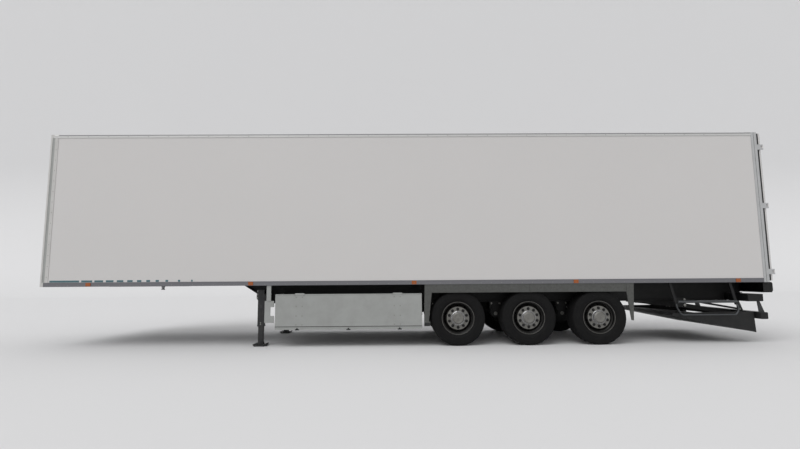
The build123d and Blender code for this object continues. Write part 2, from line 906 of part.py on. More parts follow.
def tyre():
    """Tyre about the Y axis: flat tread, round shoulders and bulged sidewalls."""
    half = tyre_width / 2
    tread = half - tyre_shoulder
    bulge = half - tyre_shoulder_bulge
    inner = rim_seat_radius + 0.3
    bead = rim_half_width - 1
    bead_top = rim_flange_radius + 1
    top = tyre_radius
    crown_end = (tread - tyre_shoulder_run, top)
    shoulder = (tread + tyre_shoulder_bulge, top - tyre_crown_edge)
    upper_side = (bulge, top - tyre_shoulder_drop)
    middle_side = (half, top - tyre_side_drop)
    lower_side = (bulge, top - tyre_bead_drop)
    flank = (half - tyre_shoulder, top - tyre_flank_drop)
    curve = [Line((0, top), crown_end)]
    curve.append(ThreePointArc(crown_end, shoulder, upper_side))
    curve.append(ThreePointArc(upper_side, middle_side, lower_side))
    curve.append(ThreePointArc(lower_side, flank, (bead, bead_top)))
    curve.append(Line((bead, bead_top), (bead, inner)))
    curve.append(Line((bead, inner), (0, inner)))
    curve.append(Line((0, inner), (0, top)))
    section = make_face(Curve() + curve)
    plane = Plane(origin=(0, 0, 0), x_dir=(0, 1, 0), z_dir=(0, 0, 1))
    half_ring = revolve(plane * section, axis=Axis.Y)
    return half_ring + mirror(half_ring, about=Plane.XZ)


def hanger_brackets():
    """Folded brackets under the beams that hold the pivots of the trailing arms."""
    near = beam_y - hanger_width / 2
    far = beam_y + hanger_width / 2
    foot_z = arm_pivot_z - hanger_foot_half
    brackets = []
    for x in axle_stations:
        pivot_x = x - arm_pivot_reach
        outline = [
            (pivot_x - hanger_length / 2, beam_bottom_z),
            (pivot_x + hanger_length / 2, beam_bottom_z),
            (pivot_x + hanger_foot_half, foot_z),
            (pivot_x - hanger_foot_half, foot_z)]
        slot_x = (pivot_x - hanger_length / 2 + 1, pivot_x + hanger_length / 2 - 1)
        slot_z = (foot_z - 1, arm_pivot_z + hanger_foot_half)
        for side, _ in SIDES:
            bracket = side_profile_at(side, outline, near, far)
            bracket = bracket - side_block(side, slot_x, (near + hanger_wall, far - hanger_wall), slot_z)
            low, high = sorted((side * near, side * far))
            brackets.append(bracket + round_bar_y(pivot_x, arm_pivot_z, low, high, arm_pin_radius))
    return pieces(*brackets)


def trailing_arms():
    """Forged arms from the hanger pivot, under the axle, to the air spring."""
    arms = []
    seat_z = axle_z - axle_tube_radius
    tail_z = seat_z - arm_tail_drop
    low_z = seat_z - arm_height
    for x in axle_stations:
        pivot_x = x - arm_pivot_reach
        outline = [
            (pivot_x, arm_pivot_z - arm_pivot_half),
            (x - arm_bend, low_z),
            (x + arm_tail_reach, low_z),
            (x + arm_tail_reach, tail_z),
            (x + spring_reach - spring_radius, tail_z),
            (x + arm_seat[1], seat_z),
            (x - arm_seat[0], seat_z),
            (pivot_x, arm_pivot_z + arm_pivot_half)]
        for side, _ in SIDES:
            arm = side_profile_at(side, outline, beam_y - arm_half_width, beam_y + arm_half_width)
            low, high = sorted((side * (beam_y - arm_half_width), side * (beam_y + arm_half_width)))
            arm = arm + round_bar_y(pivot_x, arm_pivot_z, low, high, arm_eye_radius)
            bore = round_bar_y(pivot_x, arm_pivot_z, low - 1, high + 1, arm_pin_radius + pin_clearance)
            arms.append(arm - bore)
    return pieces(*arms)


def air_springs():
    """Bellows between the tails of the arms and the beams."""
    base = axle_z - axle_tube_radius - arm_tail_drop
    height = beam_bottom_z - base
    points = [(spring_radius * across, height * up) for across, up in spring_section]
    outline = make_face(Polyline((0, 0), *points, (0, height), close=True))
    spring = revolve(Plane.XZ * outline, axis=Axis.Z)
    springs = []
    for x in axle_stations:
        for side, _ in SIDES:
            springs.append(Pos(x + spring_reach, side * beam_y, base) * spring)
    return pieces(*springs)


def brake_units():
    """Calipers over the brake discs, each with its chamber, on the axle tubes."""
    disc_near = brake_disc_y - brake_disc_width / 2
    disc_far = brake_disc_y + brake_disc_width / 2
    body_y = (disc_near - caliper_inner, disc_far + caliper_outer)
    body_z = (axle_z + caliper_z[0], axle_z + caliper_z[1])
    slot_y = (disc_near - brake_gap, disc_far + brake_gap)
    slot_z = (body_z[0] - 1, axle_z + brake_disc_radius + brake_gap)
    foot_y = (brake_disc_y - axle_flange_gap + axle_flange, disc_near - brake_gap - 2)
    foot_z = (axle_z + caliper_foot_z[0], axle_z + caliper_foot_z[1])
    chamber_end = disc_near - caliper_inner + 2
    units = []
    for x in axle_stations:
        span_x = (x - caliper_half_length, x + caliper_half_length)
        foot_x = (x - caliper_foot_half, x + caliper_foot_half)
        for side, _ in SIDES:
            unit = side_block(side, span_x, body_y, body_z)
            unit = unit - side_block(side, (span_x[0] - 1, span_x[1] + 1), slot_y, slot_z)
            unit = unit + side_block(side, foot_x, foot_y, foot_z)
            low, high = sorted((side * slot_y[0], side * (body_y[1] + brake_gap)))
            unit = unit - round_bar_y(x, axle_z, low, high, hub_barrel_radius + brake_gap + 2)
            low, high = sorted((side * (chamber_end - chamber_length), side * chamber_end))
            units.append(unit + round_bar_y(x, axle_z + chamber_z, low, high, chamber_radius))
    return pieces(*units)


def air_tanks():
    """Two air tanks between the beams, under the third and fourth crossmembers from the rear."""
    tanks = []
    z = floor_bottom_z - cross_height - tank_radius
    for x in cross_stations[-4:-2]:
        tank = round_bar_y(x, z, -tank_half_length, tank_half_length, tank_radius)
        tanks.append(fillet(tank.edges(), tank_edge))
    return pieces(*tanks)


# Side equipment


def wheel_arch_frames():
    """Folded sheet frames round the wheel bay on both sides."""
    front = axle_stations[0] - portal_front_gap
    rear = axle_stations[-1] + portal_rear_gap
    foot = portal_foot_z
    top = bottom_rail_z
    lip = portal_lip
    lean = portal_lean
    step_x, step_z = portal_step
    front_low, front_high = portal_front_bend
    rear_high, rear_low, rear_foot = portal_rear_bend
    outer = [
        (front, top),
        (front - lean, foot + 70),
        (front - lean, foot - step_z),
        (front + step_x, foot - step_z),
        (front + step_x, foot),
        (front + front_low, foot),
        (front + front_high, portal_top_z),
        (rear - rear_high, portal_top_z),
        (rear - rear_low, foot),
        (rear - rear_foot, foot - 4),
        (rear, top)]
    inner = [
        (front + lip + 3, top - lip),
        (front - lean + 7, foot + 70),
        (front - lean + 7, foot + lip),
        (front + front_low - 7, foot + lip),
        (front + front_high - 9, portal_top_z + lip),
        (rear - rear_high + 9, portal_top_z + lip),
        (rear - rear_low + lip, foot + lip),
        (rear - rear_foot - 6, foot + lip - 2),
        (rear - lip - 1, top - lip)]
    frames = []
    for side, _ in SIDES:
        frame = side_profile_at(side, outer, half_width - portal_depth, half_width)
        pocket = side_profile_at(side, inner, half_width - portal_depth - 1, half_width - portal_sheet)
        frames.append(frame - pocket)
    return pieces(*frames)


def pallet_box():
    """Tray under the beams that is open to both sides, with notched end walls."""
    low = box_bottom_z + latch_drop
    floor_top = low + box_floor_thickness
    span = (box_front_x, box_rear_x)
    width = (-box_half_width, box_half_width)
    tray = block(span, width, (low, floor_top))
    notch = beam_flange_width / 2
    for x in (box_front_x, box_rear_x - box_wall_thickness):
        wall_x = (x, x + box_wall_thickness)
        wall = block(wall_x, width, (low, flap_top_z))
        for side, _ in SIDES:
            notch_x = (x - 1, wall_x[1] + 1)
            notch_z = (beam_bottom_z, flap_top_z + 1)
            wall = wall - side_block(side, notch_x, (beam_y - notch, beam_y + notch), notch_z)
        tray = tray + wall
    for side, _ in SIDES:
        rail_y = (box_half_width - box_rail_depth, box_half_width)
        tray = tray + side_block(side, span, rail_y, (flap_top_z - box_rail_height, flap_top_z))
        for x in strap_x:
            tray = tray + flap_bracket(side, x)
    return tray


def flap_bracket(side, x):
    """Pair of ears with the pin that a flap hangs on."""
    reach = strap_width / 2 + flap_ear + 1
    ear_y = (box_half_width - box_rail_depth, flap_pin_y + 8)
    ear_z = (flap_top_z - box_rail_height / 2, flap_hinge_z + 8)
    ears = side_block(side, (x - reach, x - reach + flap_ear), ear_y, ear_z)
    ears = ears + side_block(side, (x + reach - flap_ear, x + reach), ear_y, ear_z)
    pin = Pos(x, side * flap_pin_y, flap_hinge_z) * Rot(0, 90, 0) * Cylinder(flap_pin_radius, 2 * reach)
    return ears + pin


def pallet_flap(side):
    """Side flap hung from two straps at its top edge, with three latch tongues below."""
    outer = flap_outer_y
    inner = outer - flap_thickness
    past = (inner - 1, outer + 1)
    span = (box_front_x + flap_clearance, box_rear_x - flap_clearance)
    flap = side_block(side, span, (inner, outer), (box_bottom_z, flap_top_z - 4))
    gap = flap_ear + 4
    for x in strap_x:
        low = x - strap_width / 2
        high = x + strap_width / 2
        for gap_x in ((low - gap, low), (high, high + gap)):
            flap = flap - side_block(side, gap_x, past, (flap_top_z - strap_slot, flap_top_z))
        strap_z = (flap_top_z - strap_slot - 26, flap_hinge_z)
        flap = flap + side_block(side, (low, high), (outer - 2 * flap_pin_inset, outer), strap_z)
        place = Pos(x, side * flap_pin_y, flap_hinge_z) * Rot(0, 90, 0)
        flap = flap + place * Cylinder(flap_pin_inset, strap_width)
        flap = flap - place * Cylinder(flap_pin_radius + pin_clearance, strap_width + 2)
    middle = (box_front_x + box_rear_x) / 2
    for x in (box_front_x + latch_inset, middle, box_rear_x - latch_inset):
        latch_x = (x - latch_width / 2, x + latch_width / 2)
        flap = flap + side_block(side, latch_x, (inner, outer), (box_bottom_z - latch_drop, box_bottom_z + 1))
    return flap


def side_plates():
    """Guard plates ahead of the pallet box, each hung from the bottom rail by a post."""
    rear = box_front_x - side_plate_gap
    front = rear - side_plate_length
    notch = rear - side_plate_notch
    low, top = side_plate_z
    notch_low, notch_high = side_plate_notch_z
    outline = [
        (front, low),
        (rear, low),
        (rear, notch_low),
        (notch, notch_low),
        (notch, notch_high),
        (rear, notch_high),
        (rear, top),
        (front, top)]
    near = half_width - side_plate_inset
    far = near + side_plate_thickness
    post_x = (front + side_post_x[0], front + side_post_x[1])
    post_y = (near - side_post_rib, far + side_post_rib)
    plates = []
    for side, _ in SIDES:
        plate = side_profile_at(side, outline, near, far)
        plates.append(plate + side_block(side, post_x, post_y, (top - 3, bottom_rail_z)))
    return pieces(*plates)


def guard_tubes(side):
    """Upper bar and bent lower loop of a tube guard."""
    y = side * (half_width - guard_inset)
    length = guard_rear_x - guard_front_x
    centre = (guard_front_x + guard_rear_x) / 2
    bar = Pos(centre, y, guard_bar_z) * Rot(0, 90, 0) * Cylinder(guard_bar_radius, length)
    start_x, end_z = guard_loop_start
    end_x, end_low = guard_loop_end
    path = [
        (guard_front_x - start_x, y, guard_bar_z - end_z),
        (guard_front_x - start_x / 2, y, guard_bar_z - 120),
        (guard_front_x + guard_loop_bend, y, guard_loop_z),
        (guard_rear_x - 24, y, guard_loop_z),
        (guard_rear_x + end_x, y, guard_bar_z - end_low),
        (guard_rear_x - 12, y, guard_bar_z - end_z)]
    return bar, bent_tube(path, guard_loop_radius, guard_loop_bend)


def side_guards():
    """Tube guards behind the wheels."""
    return pieces(*[tube for side, _ in SIDES for tube in guard_tubes(side)])


def guard_hangers():
    """Slanted flat bars from the bottom rail that the guard tubes are seated in."""
    far = half_width - guard_inset - guard_bar_radius + hanger_seat
    near = far - hanger_bar_thickness
    half = hanger_bar_width / 2
    low = guard_bar_z - guard_bar_radius - guard_inset
    hangers = []
    for side, _ in SIDES:
        bar, loop = guard_tubes(side)
        for x in (guard_front_x - hanger_lean - 20, guard_rear_x - hanger_lean):
            outline = [
                (x - half - hanger_lean, bottom_rail_z),
                (x + half - hanger_lean, bottom_rail_z),
                (x + half + hanger_lean, low),
                (x - half + hanger_lean, low)]
            hanger = side_profile_at(side, outline, near, far + 2 * hanger_seat)
            hangers.append(hanger - bar - loop)
    return pieces(*hangers)


# Rear equipment


def light_carrier():
    """Box beam behind the main beams that carries the tail lamps."""
    span = (carrier_front_x, carrier_rear_x)
    width = (-carrier_half_width, carrier_half_width)
    carrier = block(span, width, (carrier_bottom_z, carrier_top_z))
    carrier = fillet(carrier.edges().filter_by(Axis.Y).sort_by(Axis.X)[-2:], carrier_corner)
    recess_x = (carrier_rear_x - tail_lamp_recess, carrier_rear_x + 1)
    for side, _ in SIDES:
        carrier = carrier - side_block(side, recess_x, tail_lamp_y, tail_lamp_z)
    return carrier


def tail_lamps():
    """Lamp units in the rear face of the light carrier."""
    start = carrier_rear_x - tail_lamp_recess
    lamps = []
    for side, _ in SIDES:
        lamp = side_block(side, (start, start + tail_lamp_depth), tail_lamp_y, tail_lamp_z)
        lamps.append(fillet(lamp.edges().filter_by(Axis.X), lamp_corner))
    return pieces(*lamps)


def underrun_beam():
    """Rear bumper hung from the light carrier by two pairs of tapered brackets."""
    beam_x = (bumper_front_x, bumper_rear_x)
    beam = block(beam_x, (-bumper_half_width, bumper_half_width), (bumper_bottom_z, bumper_top_z))
    beam = fillet(beam.edges().filter_by(Axis.Y), bumper_corner)
    low = bumper_top_z - bumper_corner - 2
    bracket = [
        (bumper_front_x + bumper_bracket_foot[0], low),
        (bumper_rear_x - bumper_bracket_foot[1], low),
        (carrier_rear_x - carrier_corner, carrier_bottom_z),
        (carrier_rear_x - bumper_bracket_top, carrier_bottom_z)]
    inner = (beam_y - bumper_bracket_half, beam_y + bumper_bracket_half)
    outer = (bumper_half_width - bumper_bracket[0], bumper_half_width - bumper_bracket[1])
    for side, _ in SIDES:
        for near, far in (inner, outer):
            beam = beam + side_profile_at(side, bracket, near, far)
    return beam


def marker_lamps():
    """Side marker lamps on the bottom rails."""
    lamps = []
    centre_z = bottom_rail_z + bottom_rail_height / 2
    heights = (centre_z - lamp_height / 2, centre_z + lamp_height / 2)
    for side, _ in SIDES:
        for x in lamp_stations:
            lamp_x = (x - lamp_length / 2, x + lamp_length / 2)
            lamp = side_block(side, lamp_x, (half_width, half_width + lamp_depth), heights)
            lamps.append(fillet(lamp.edges().filter_by(Axis.Y), lamp_corner))
    return pieces(*lamps)


# Tail lift


def lift_bearing():
    """Beam clamped under the main beams, with the ears and pins of the lift's pivots."""
    x = lift_pivot_x - lift_beam_setback
    front = x - lift_beam_half
    low = lift_pivot_z - 35
    beam = block((front, x + lift_beam_half), (-lift_beam_reach, lift_beam_reach), (low, beam_bottom_z))
    link_z = lift_pivot_z + lift_link_rise
    inner_ear = lift_arm_y - lift_arm_width / 2 - lift_ear - 2
    outer_ear = lift_link_y + lift_arm_width / 2 + 6
    for side, _ in SIDES:
        for near, top in ((inner_ear, lift_pivot_z + 25), (outer_ear, link_z + 25)):
            ear = [
                (front, low),
                (lift_pivot_x + 20, low),
                (lift_pivot_x + 30, top),
                (front, top)]
            beam = beam + side_profile_at(side, ear, near, near + lift_ear)
        arm_pin = sorted((side * inner_ear, side * (outer_ear + lift_ear)))
        link_pin = sorted((side * (lift_arm_y + 30), side * (outer_ear + lift_ear)))
        beam = beam + round_bar_y(lift_pivot_x, lift_pivot_z, *arm_pin, lift_pin_radius)
        beam = beam + round_bar_y(lift_pivot_x, link_z, *link_pin, link_pin_radius)
    return beam


def bar_between_pivots(side, y, width, start, end, height, eye, bore):
    """A flat bar with a round eye at each end."""
    low, high = sorted((side * (y - width / 2), side * (y + width / 2)))
    dx = end[0] - start[0]
    dz = end[1] - start[1]
    length = math.hypot(dx, dz)
    across = (-dz / length * height / 2, dx / length * height / 2)
    outline = [
        (start[0] - across[0], start[1] - across[1]),
        (end[0] - across[0], end[1] - across[1]),
        (end[0] + across[0], end[1] + across[1]),
        (start[0] + across[0], start[1] + across[1])]
    bar = side_profile(outline, low, high)
    for x, z in (start, end):
        bar = bar + round_bar_y(x, z, low, high, eye)
    for x, z in (start, end):
        bar = bar - round_bar_y(x, z, low - 1, high + 1, bore)
    return bar


def lift_arms():
    """Two arms joined by a cross tube, from the bearing beam to the platform's hinge."""
    start = (lift_pivot_x, lift_pivot_z)
    end = (lift_hinge_x, lift_hinge_z)
    bore = lift_pin_radius + pin_clearance
    x = start[0] + lift_tube_share * (end[0] - start[0])
    z = start[1] + lift_tube_share * (end[1] - start[1])
    arms = round_bar_y(x, z, -lift_arm_y, lift_arm_y, lift_tube_radius)
    for side, _ in SIDES:
        arms = arms + bar_between_pivots(
            side, lift_arm_y, lift_arm_width, start, end, lift_arm_height, lift_eye_radius, bore)
    return arms


def lift_links():
    """Upper links that keep the platform at its angle as the arms move."""
    start = (lift_pivot_x, lift_pivot_z + lift_link_rise)
    end = (lift_hinge_x, lift_hinge_z + lift_link_rise)
    bore = link_pin_radius + pin_clearance
    links = [
        bar_between_pivots(side, lift_link_y, link_width, start, end, link_height, link_eye_radius, bore)
        for side, _ in SIDES]
    return pieces(*links)


def platform_leaf():
    """Folded platform: the root leaf with its side kerbs, hinge lugs and pins."""
    kerb = [
        (leaf_front_x, leaf_front_z),
        (leaf_rear_x, leaf_rear_z),
        (leaf_rear_x - 20, leaf_root_top_z),
        (leaf_rear_x - leaf_root_run, leaf_root_top_z),
        (leaf_front_x + 40, leaf_front_z + 50)]
    deck = [
        (leaf_front_x + 30, leaf_front_z + 24),
        (leaf_rear_x - 8, leaf_root_top_z - leaf_root_run),
        (leaf_rear_x - 12, leaf_root_top_z - 150),
        (leaf_front_x + 30, leaf_front_z + 50)]
    x = lift_hinge_x
    link_z = lift_hinge_z + lift_link_rise
    inner_lug = lift_arm_y - lift_arm_width / 2 - leaf_lug - 2
    outer_lug = lift_link_y + link_width / 2 + 2
    leaf = side_profile(deck, -leaf_half_width, leaf_half_width)
    for side, _ in SIDES:
        leaf = leaf + side_profile_at(side, kerb, leaf_half_width - 2, leaf_half_width + leaf_kerb)
        for near, top in ((inner_lug, lift_hinge_z + 25), (outer_lug, link_z + 25)):
            lug = [
                (x - 50, leaf_root_top_z - 180),
                (x + 60, leaf_root_top_z - 180),
                (x + 30, top),
                (x - 30, top)]
            leaf = leaf + side_profile_at(side, lug, near, near + leaf_lug)
        arm_pin = sorted((side * inner_lug, side * (outer_lug + leaf_lug)))
        link_pin = sorted((side * (lift_arm_y + 30), side * (outer_lug + leaf_lug)))
        leaf = leaf + round_bar_y(x, lift_hinge_z, *arm_pin, lift_pin_radius)
        leaf = leaf + round_bar_y(x, link_z, *link_pin, link_pin_radius)
    return leaf


def platform_tip():
    """Outer leaf of the platform, folded under the root leaf."""
    points = [
        (leaf_front_x + 30, leaf_front_z - 2),
        (leaf_rear_x - 30, leaf_rear_z + 10),
        (leaf_rear_x - 30, leaf_rear_z + 50),
        (leaf_front_x + 30, leaf_front_z + 24)]
    return side_profile(points, -leaf_half_width + 8, leaf_half_width - 8)


write("floor_deck", floor_deck())
write("side_walls", side_walls())
write("front_wall", front_wall())
write("front_frame", front_frame())
write("roof_panel", roof_panel())
write("roof_rails", roof_rails())
write("bottom_rails", bottom_rails())
write("rear_frame", rear_frame())
write("rear_sill", rear_sill())
write("main_beams", main_beams())
write("crossmembers", crossmembers())
write("coupler_plate", coupler_plate())
write("kingpin", kingpin())
write("landing_legs", landing_legs())
write("landing_feet", landing_feet())
write("landing_drive", landing_drive())
write("axle_beams", axle_beams())
write("hanger_brackets", hanger_brackets())
write("trailing_arms", trailing_arms())
write("air_springs", air_springs())
write("brake_units", brake_units())
write("air_tanks", air_tanks())
write("wheel_arch_frames", wheel_arch_frames())
write("pallet_box", pallet_box())
write("side_plates", side_plates())
write("side_guards", side_guards())
write("guard_hangers", guard_hangers())
write("light_carrier", light_carrier())
write("tail_lamps", tail_lamps())
write("underrun_beam", underrun_beam())
write("marker_lamps", marker_lamps())
write("lift_bearing", lift_bearing())
write("lift_arms", lift_arms())
write("lift_links", lift_links())
write("platform_leaf", platform_leaf())
write("platform_tip", platform_tip())
for side, name in SIDES:
    write(f"door_{name}", rear_door(side))
    write(f"lock_gear_{name}", lock_gear(side))
    write(f"pallet_flap_{name}", pallet_flap(side))
    side_wheel = wheel(side)
    side_tyre = tyre()
    for number, x in enumerate(axle_stations, start=1):
        place = Pos(x, side * wheel_y, axle_z)
        write(f"wheel_{name}_{number}", place * side_wheel)
        write(f"tyre_{name}_{number}", place * side_tyre)
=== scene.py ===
import math

import bpy
from mathutils import Matrix, Vector


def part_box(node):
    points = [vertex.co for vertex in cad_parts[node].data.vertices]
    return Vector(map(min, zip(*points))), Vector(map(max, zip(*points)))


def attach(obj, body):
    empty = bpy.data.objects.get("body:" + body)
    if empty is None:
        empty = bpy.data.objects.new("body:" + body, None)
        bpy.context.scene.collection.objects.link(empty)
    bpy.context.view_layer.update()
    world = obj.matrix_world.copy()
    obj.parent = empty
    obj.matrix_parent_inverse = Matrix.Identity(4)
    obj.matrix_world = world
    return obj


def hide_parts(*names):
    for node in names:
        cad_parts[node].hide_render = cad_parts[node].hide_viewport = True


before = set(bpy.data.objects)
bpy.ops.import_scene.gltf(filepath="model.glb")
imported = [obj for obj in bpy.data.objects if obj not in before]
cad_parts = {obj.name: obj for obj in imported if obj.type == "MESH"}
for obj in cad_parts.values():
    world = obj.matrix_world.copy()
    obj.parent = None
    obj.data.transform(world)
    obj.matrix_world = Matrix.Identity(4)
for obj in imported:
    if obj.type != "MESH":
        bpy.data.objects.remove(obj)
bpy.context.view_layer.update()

bl_info = {
    "name": "Insulated Box Semi Trailer",
    "version": (1, 0, 0),
    "blender": (4, 5, 0),
    "location": "View3D > Sidebar > Trailer",
    "description": "Finishes and small parts of a three-axle box semi trailer",
    "category": "Object",
}

# Lengths are in metres. A station is a distance from the front wall, and left is the -Y side.
MM = 0.001
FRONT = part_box("front_frame")[0][0]
HALF_WIDTH = 1.3
DOOR_FACE = 13.600
FRAME_END = 13.522
RAIL_END = 13.415
BOTTOM_RAIL_START = 0.175
ROOF_RAIL_START = 0.10
KINGPIN = 1.650
LEG = (4.024, -1.020)
GEAR = (4.117, 0.915)
LOCK_RODS = (1.030, 0.320)
HANDLE_HEIGHT = 1.720
HINGE_HEIGHTS = (1.317, 2.5625, 3.700)
LIFT_HINGE = (13.170, 0.500)
LIFT_BEARING = (12.100, 0.690)
LINK_RISE = 0.110
TREAD_RADIUS = 0.498
# A piece that lies on a surface reaches this far into it
SEAT = 0.001
SIDES = ((-1, "left"), (1, "right"))
AXLES = (1, 2, 3)


# Sizes and colours that a user can change


class BodySettings(bpy.types.PropertyGroup):
    panel_colour: bpy.props.StringProperty(
        name="Panel Colour", description="Hex colour of the side panels", default="C3C1C0")
    tape_colour: bpy.props.StringProperty(
        name="Tape Colour", description="Hex colour of the stripe over the bottom rail", default="3F6269")
    rivet_radius: bpy.props.FloatProperty(
        name="Rivet Radius", description="Radius of the rivet heads on rails and posts",
        default=0.007, min=0.003, max=0.015, unit="LENGTH")
    rivet_pitch: bpy.props.FloatProperty(
        name="Rivet Pitch", description="Distance between rivets along the rails",
        default=0.19, min=0.05, max=1.0, unit="LENGTH")


class WheelSettings(bpy.types.PropertyGroup):
    # The rim colour is darker than clean silver paint: it holds painted shade, set part way towards the dim
    # light round the wheels
    rim_colour: bpy.props.StringProperty(
        name="Rim Colour", description="Hex colour of the wheels", default="757470")
    nut_count: bpy.props.IntProperty(
        name="Nuts", description="Wheel nuts on each wheel", default=10, min=4, max=12)
    nut_circle: bpy.props.FloatProperty(
        name="Nut Circle", description="Radius of the circle of nuts", default=0.1675,
        min=0.1, max=0.2, unit="LENGTH")
    groove_depth: bpy.props.FloatProperty(
        name="Groove Depth", description="Depth of the grooves in the tread", default=0.013,
        min=0.004, max=0.02, unit="LENGTH")


class RearSettings(bpy.types.PropertyGroup):
    seal_width: bpy.props.FloatProperty(
        name="Seal Width", description="Width of the rubber seals round the doors", default=0.024,
        min=0.01, max=0.05, unit="LENGTH")
    rod_colour: bpy.props.StringProperty(
        name="Rod Colour", description="Hex colour of the lock rods", default="9C9E9F")


class ChassisSettings(bpy.types.PropertyGroup):
    paint_colour: bpy.props.StringProperty(
        name="Paint Colour", description="Hex colour of the chassis", default="0C0D0E")
    flap_colour: bpy.props.StringProperty(
        name="Flap Colour", description="Hex colour of the pallet box flaps", default="989A98")
    bolt_radius: bpy.props.FloatProperty(
        name="Bolt Radius", description="Radius of the bolt heads on brackets", default=0.014,
        min=0.006, max=0.03, unit="LENGTH")


class StageSettings(bpy.types.PropertyGroup):
    floor_colour: bpy.props.StringProperty(
        name="Floor Colour", description="Hex colour of the floor and backdrop", default="D2D2D3")
    lens: bpy.props.FloatProperty(
        name="Lens", description="Focal length of the camera in millimetres", default=20.983,
        min=10, max=200)
    key_strength: bpy.props.FloatProperty(
        name="Key Strength", description="Strength of the soft sun", default=1.18, min=0, max=5)


# Materials


def linear(text):
    """A hex colour as the linear values that a shader takes."""
    values = [int(text[start:start + 2], 16) / 255 for start in (0, 2, 4)]
    return [v / 12.92 if v <= 0.04045 else ((v + 0.055) / 1.055) ** 2.4 for v in values] + [1]


def add(tree, kind, inputs=(), **settings):
    """One node with its settings and the values or links of its inputs."""
    node = tree.nodes.new(kind)
    for key, value in settings.items():
        setattr(node, key, value)
    for socket, value in dict(inputs).items():
        if isinstance(value, bpy.types.NodeSocket):
            tree.links.new(value, node.inputs[socket])
        else:
            node.inputs[socket].default_value = value
    return node


def surface(name, colour, roughness, metallic=0.0, patch_mm=400, patch=0.06, grain_mm=2.0,
            grain=0.05, stretch=(1, 1, 1), soil=None, soil_amount=0.0, well_shade_and_brake_dust=None, **shader):
    """A named surface: large soft patches in its colour, and a fine grain in gloss and relief.

    soil is a second hex colour that lies over the first in worn patches. The ring argument is the
    middle of a wheel, its inner and outer radius: between them a near-black colour covers the first,
    painted shade of the rim's deep well together with its brake dust.
    """
    material = bpy.data.materials.new(name)
    material.use_nodes = True
    tree = material.node_tree
    tree.nodes.clear()
    place = add(tree, "ShaderNodeTexCoord").outputs["Object"]
    wide = add(tree, "ShaderNodeTexNoise", {"Vector": place, "Scale": 1 / (patch_mm * MM), "Detail": 4.0})
    turned_place = add(tree, "ShaderNodeMapping", {"Vector": place, "Scale": stretch}).outputs["Vector"]
    fine = add(tree, "ShaderNodeTexNoise", {
        "Vector": turned_place, "Scale": 1 / (grain_mm * MM), "Detail": 3.0})
    base = linear(colour)
    dark = [value * (1 - patch) for value in base[:3]] + [1]
    light = [min(1, value * (1 + patch)) for value in base[:3]] + [1]
    tone = add(tree, "ShaderNodeMix", {"Factor": wide.outputs["Fac"]}, data_type="RGBA")
    # The colour sockets of a Mix node come after those for numbers and vectors
    tone.inputs[6].default_value = dark
    tone.inputs[7].default_value = light
    result = tone.outputs[2]
    if soil:
        worn = add(tree, "ShaderNodeTexNoise", {
            "Vector": place, "Scale": 2.2 / (patch_mm * MM), "Detail": 8.0, "Roughness": 0.65})
        spread = add(tree, "ShaderNodeMapRange", {
            "Value": worn.outputs["Fac"], "From Min": 0.42, "From Max": 0.72,
            "To Min": 0.0, "To Max": soil_amount})
        over = add(tree, "ShaderNodeMix", {"Factor": spread.outputs["Result"]}, data_type="RGBA")
        tree.links.new(result, over.inputs[6])
        over.inputs[7].default_value = linear(soil)
        result = over.outputs[2]
    if well_shade_and_brake_dust:
        (x, z), inner, outer = well_shade_and_brake_dust
        centred = add(tree, "ShaderNodeMapping", {
            "Vector": place, "Location": (-x, 0, -z), "Scale": (1, 0, 1)})
        radius = add(tree, "ShaderNodeVectorMath", {0: centred.outputs["Vector"]}, operation="LENGTH")
        past_inner = add(tree, "ShaderNodeMapRange", {
            "Value": radius.outputs["Value"], "From Min": inner - 0.003, "From Max": inner + 0.003})
        before_outer = add(tree, "ShaderNodeMapRange", {
            "Value": radius.outputs["Value"], "From Min": outer - 0.002, "From Max": outer + 0.002,
            "To Min": 1.0, "To Max": 0.0})
        within = add(tree, "ShaderNodeMath", {
            0: past_inner.outputs["Result"], 1: before_outer.outputs["Result"]}, operation="MULTIPLY")
        well_shade_and_grime_mix = add(tree, "ShaderNodeMix", {"Factor": within.outputs[0]}, data_type="RGBA")
        tree.links.new(result, well_shade_and_grime_mix.inputs[6])
        # Near-black painted shade of the rim's deep well, with some brake dust
        well_shade_and_grime_mix.inputs[7].default_value = linear("1A1918")
        result = well_shade_and_grime_mix.outputs[2]
    gloss = add(tree, "ShaderNodeMapRange", {
        "Value": fine.outputs["Fac"], "From Min": 0.3, "From Max": 0.7,
        "To Min": max(0.02, roughness - 0.08), "To Max": min(1, roughness + 0.08)})
    relief = add(tree, "ShaderNodeBump", {
        "Height": fine.outputs["Fac"], "Strength": grain, "Distance": grain_mm * MM})
    bsdf = add(tree, "ShaderNodeBsdfPrincipled", {
        "Base Color": result, "Roughness": gloss.outputs["Result"], "Metallic": metallic,
        "Normal": relief.outputs["Normal"], **shader})
    add(tree, "ShaderNodeOutputMaterial", {"Surface": bsdf.outputs["BSDF"]})
    return material


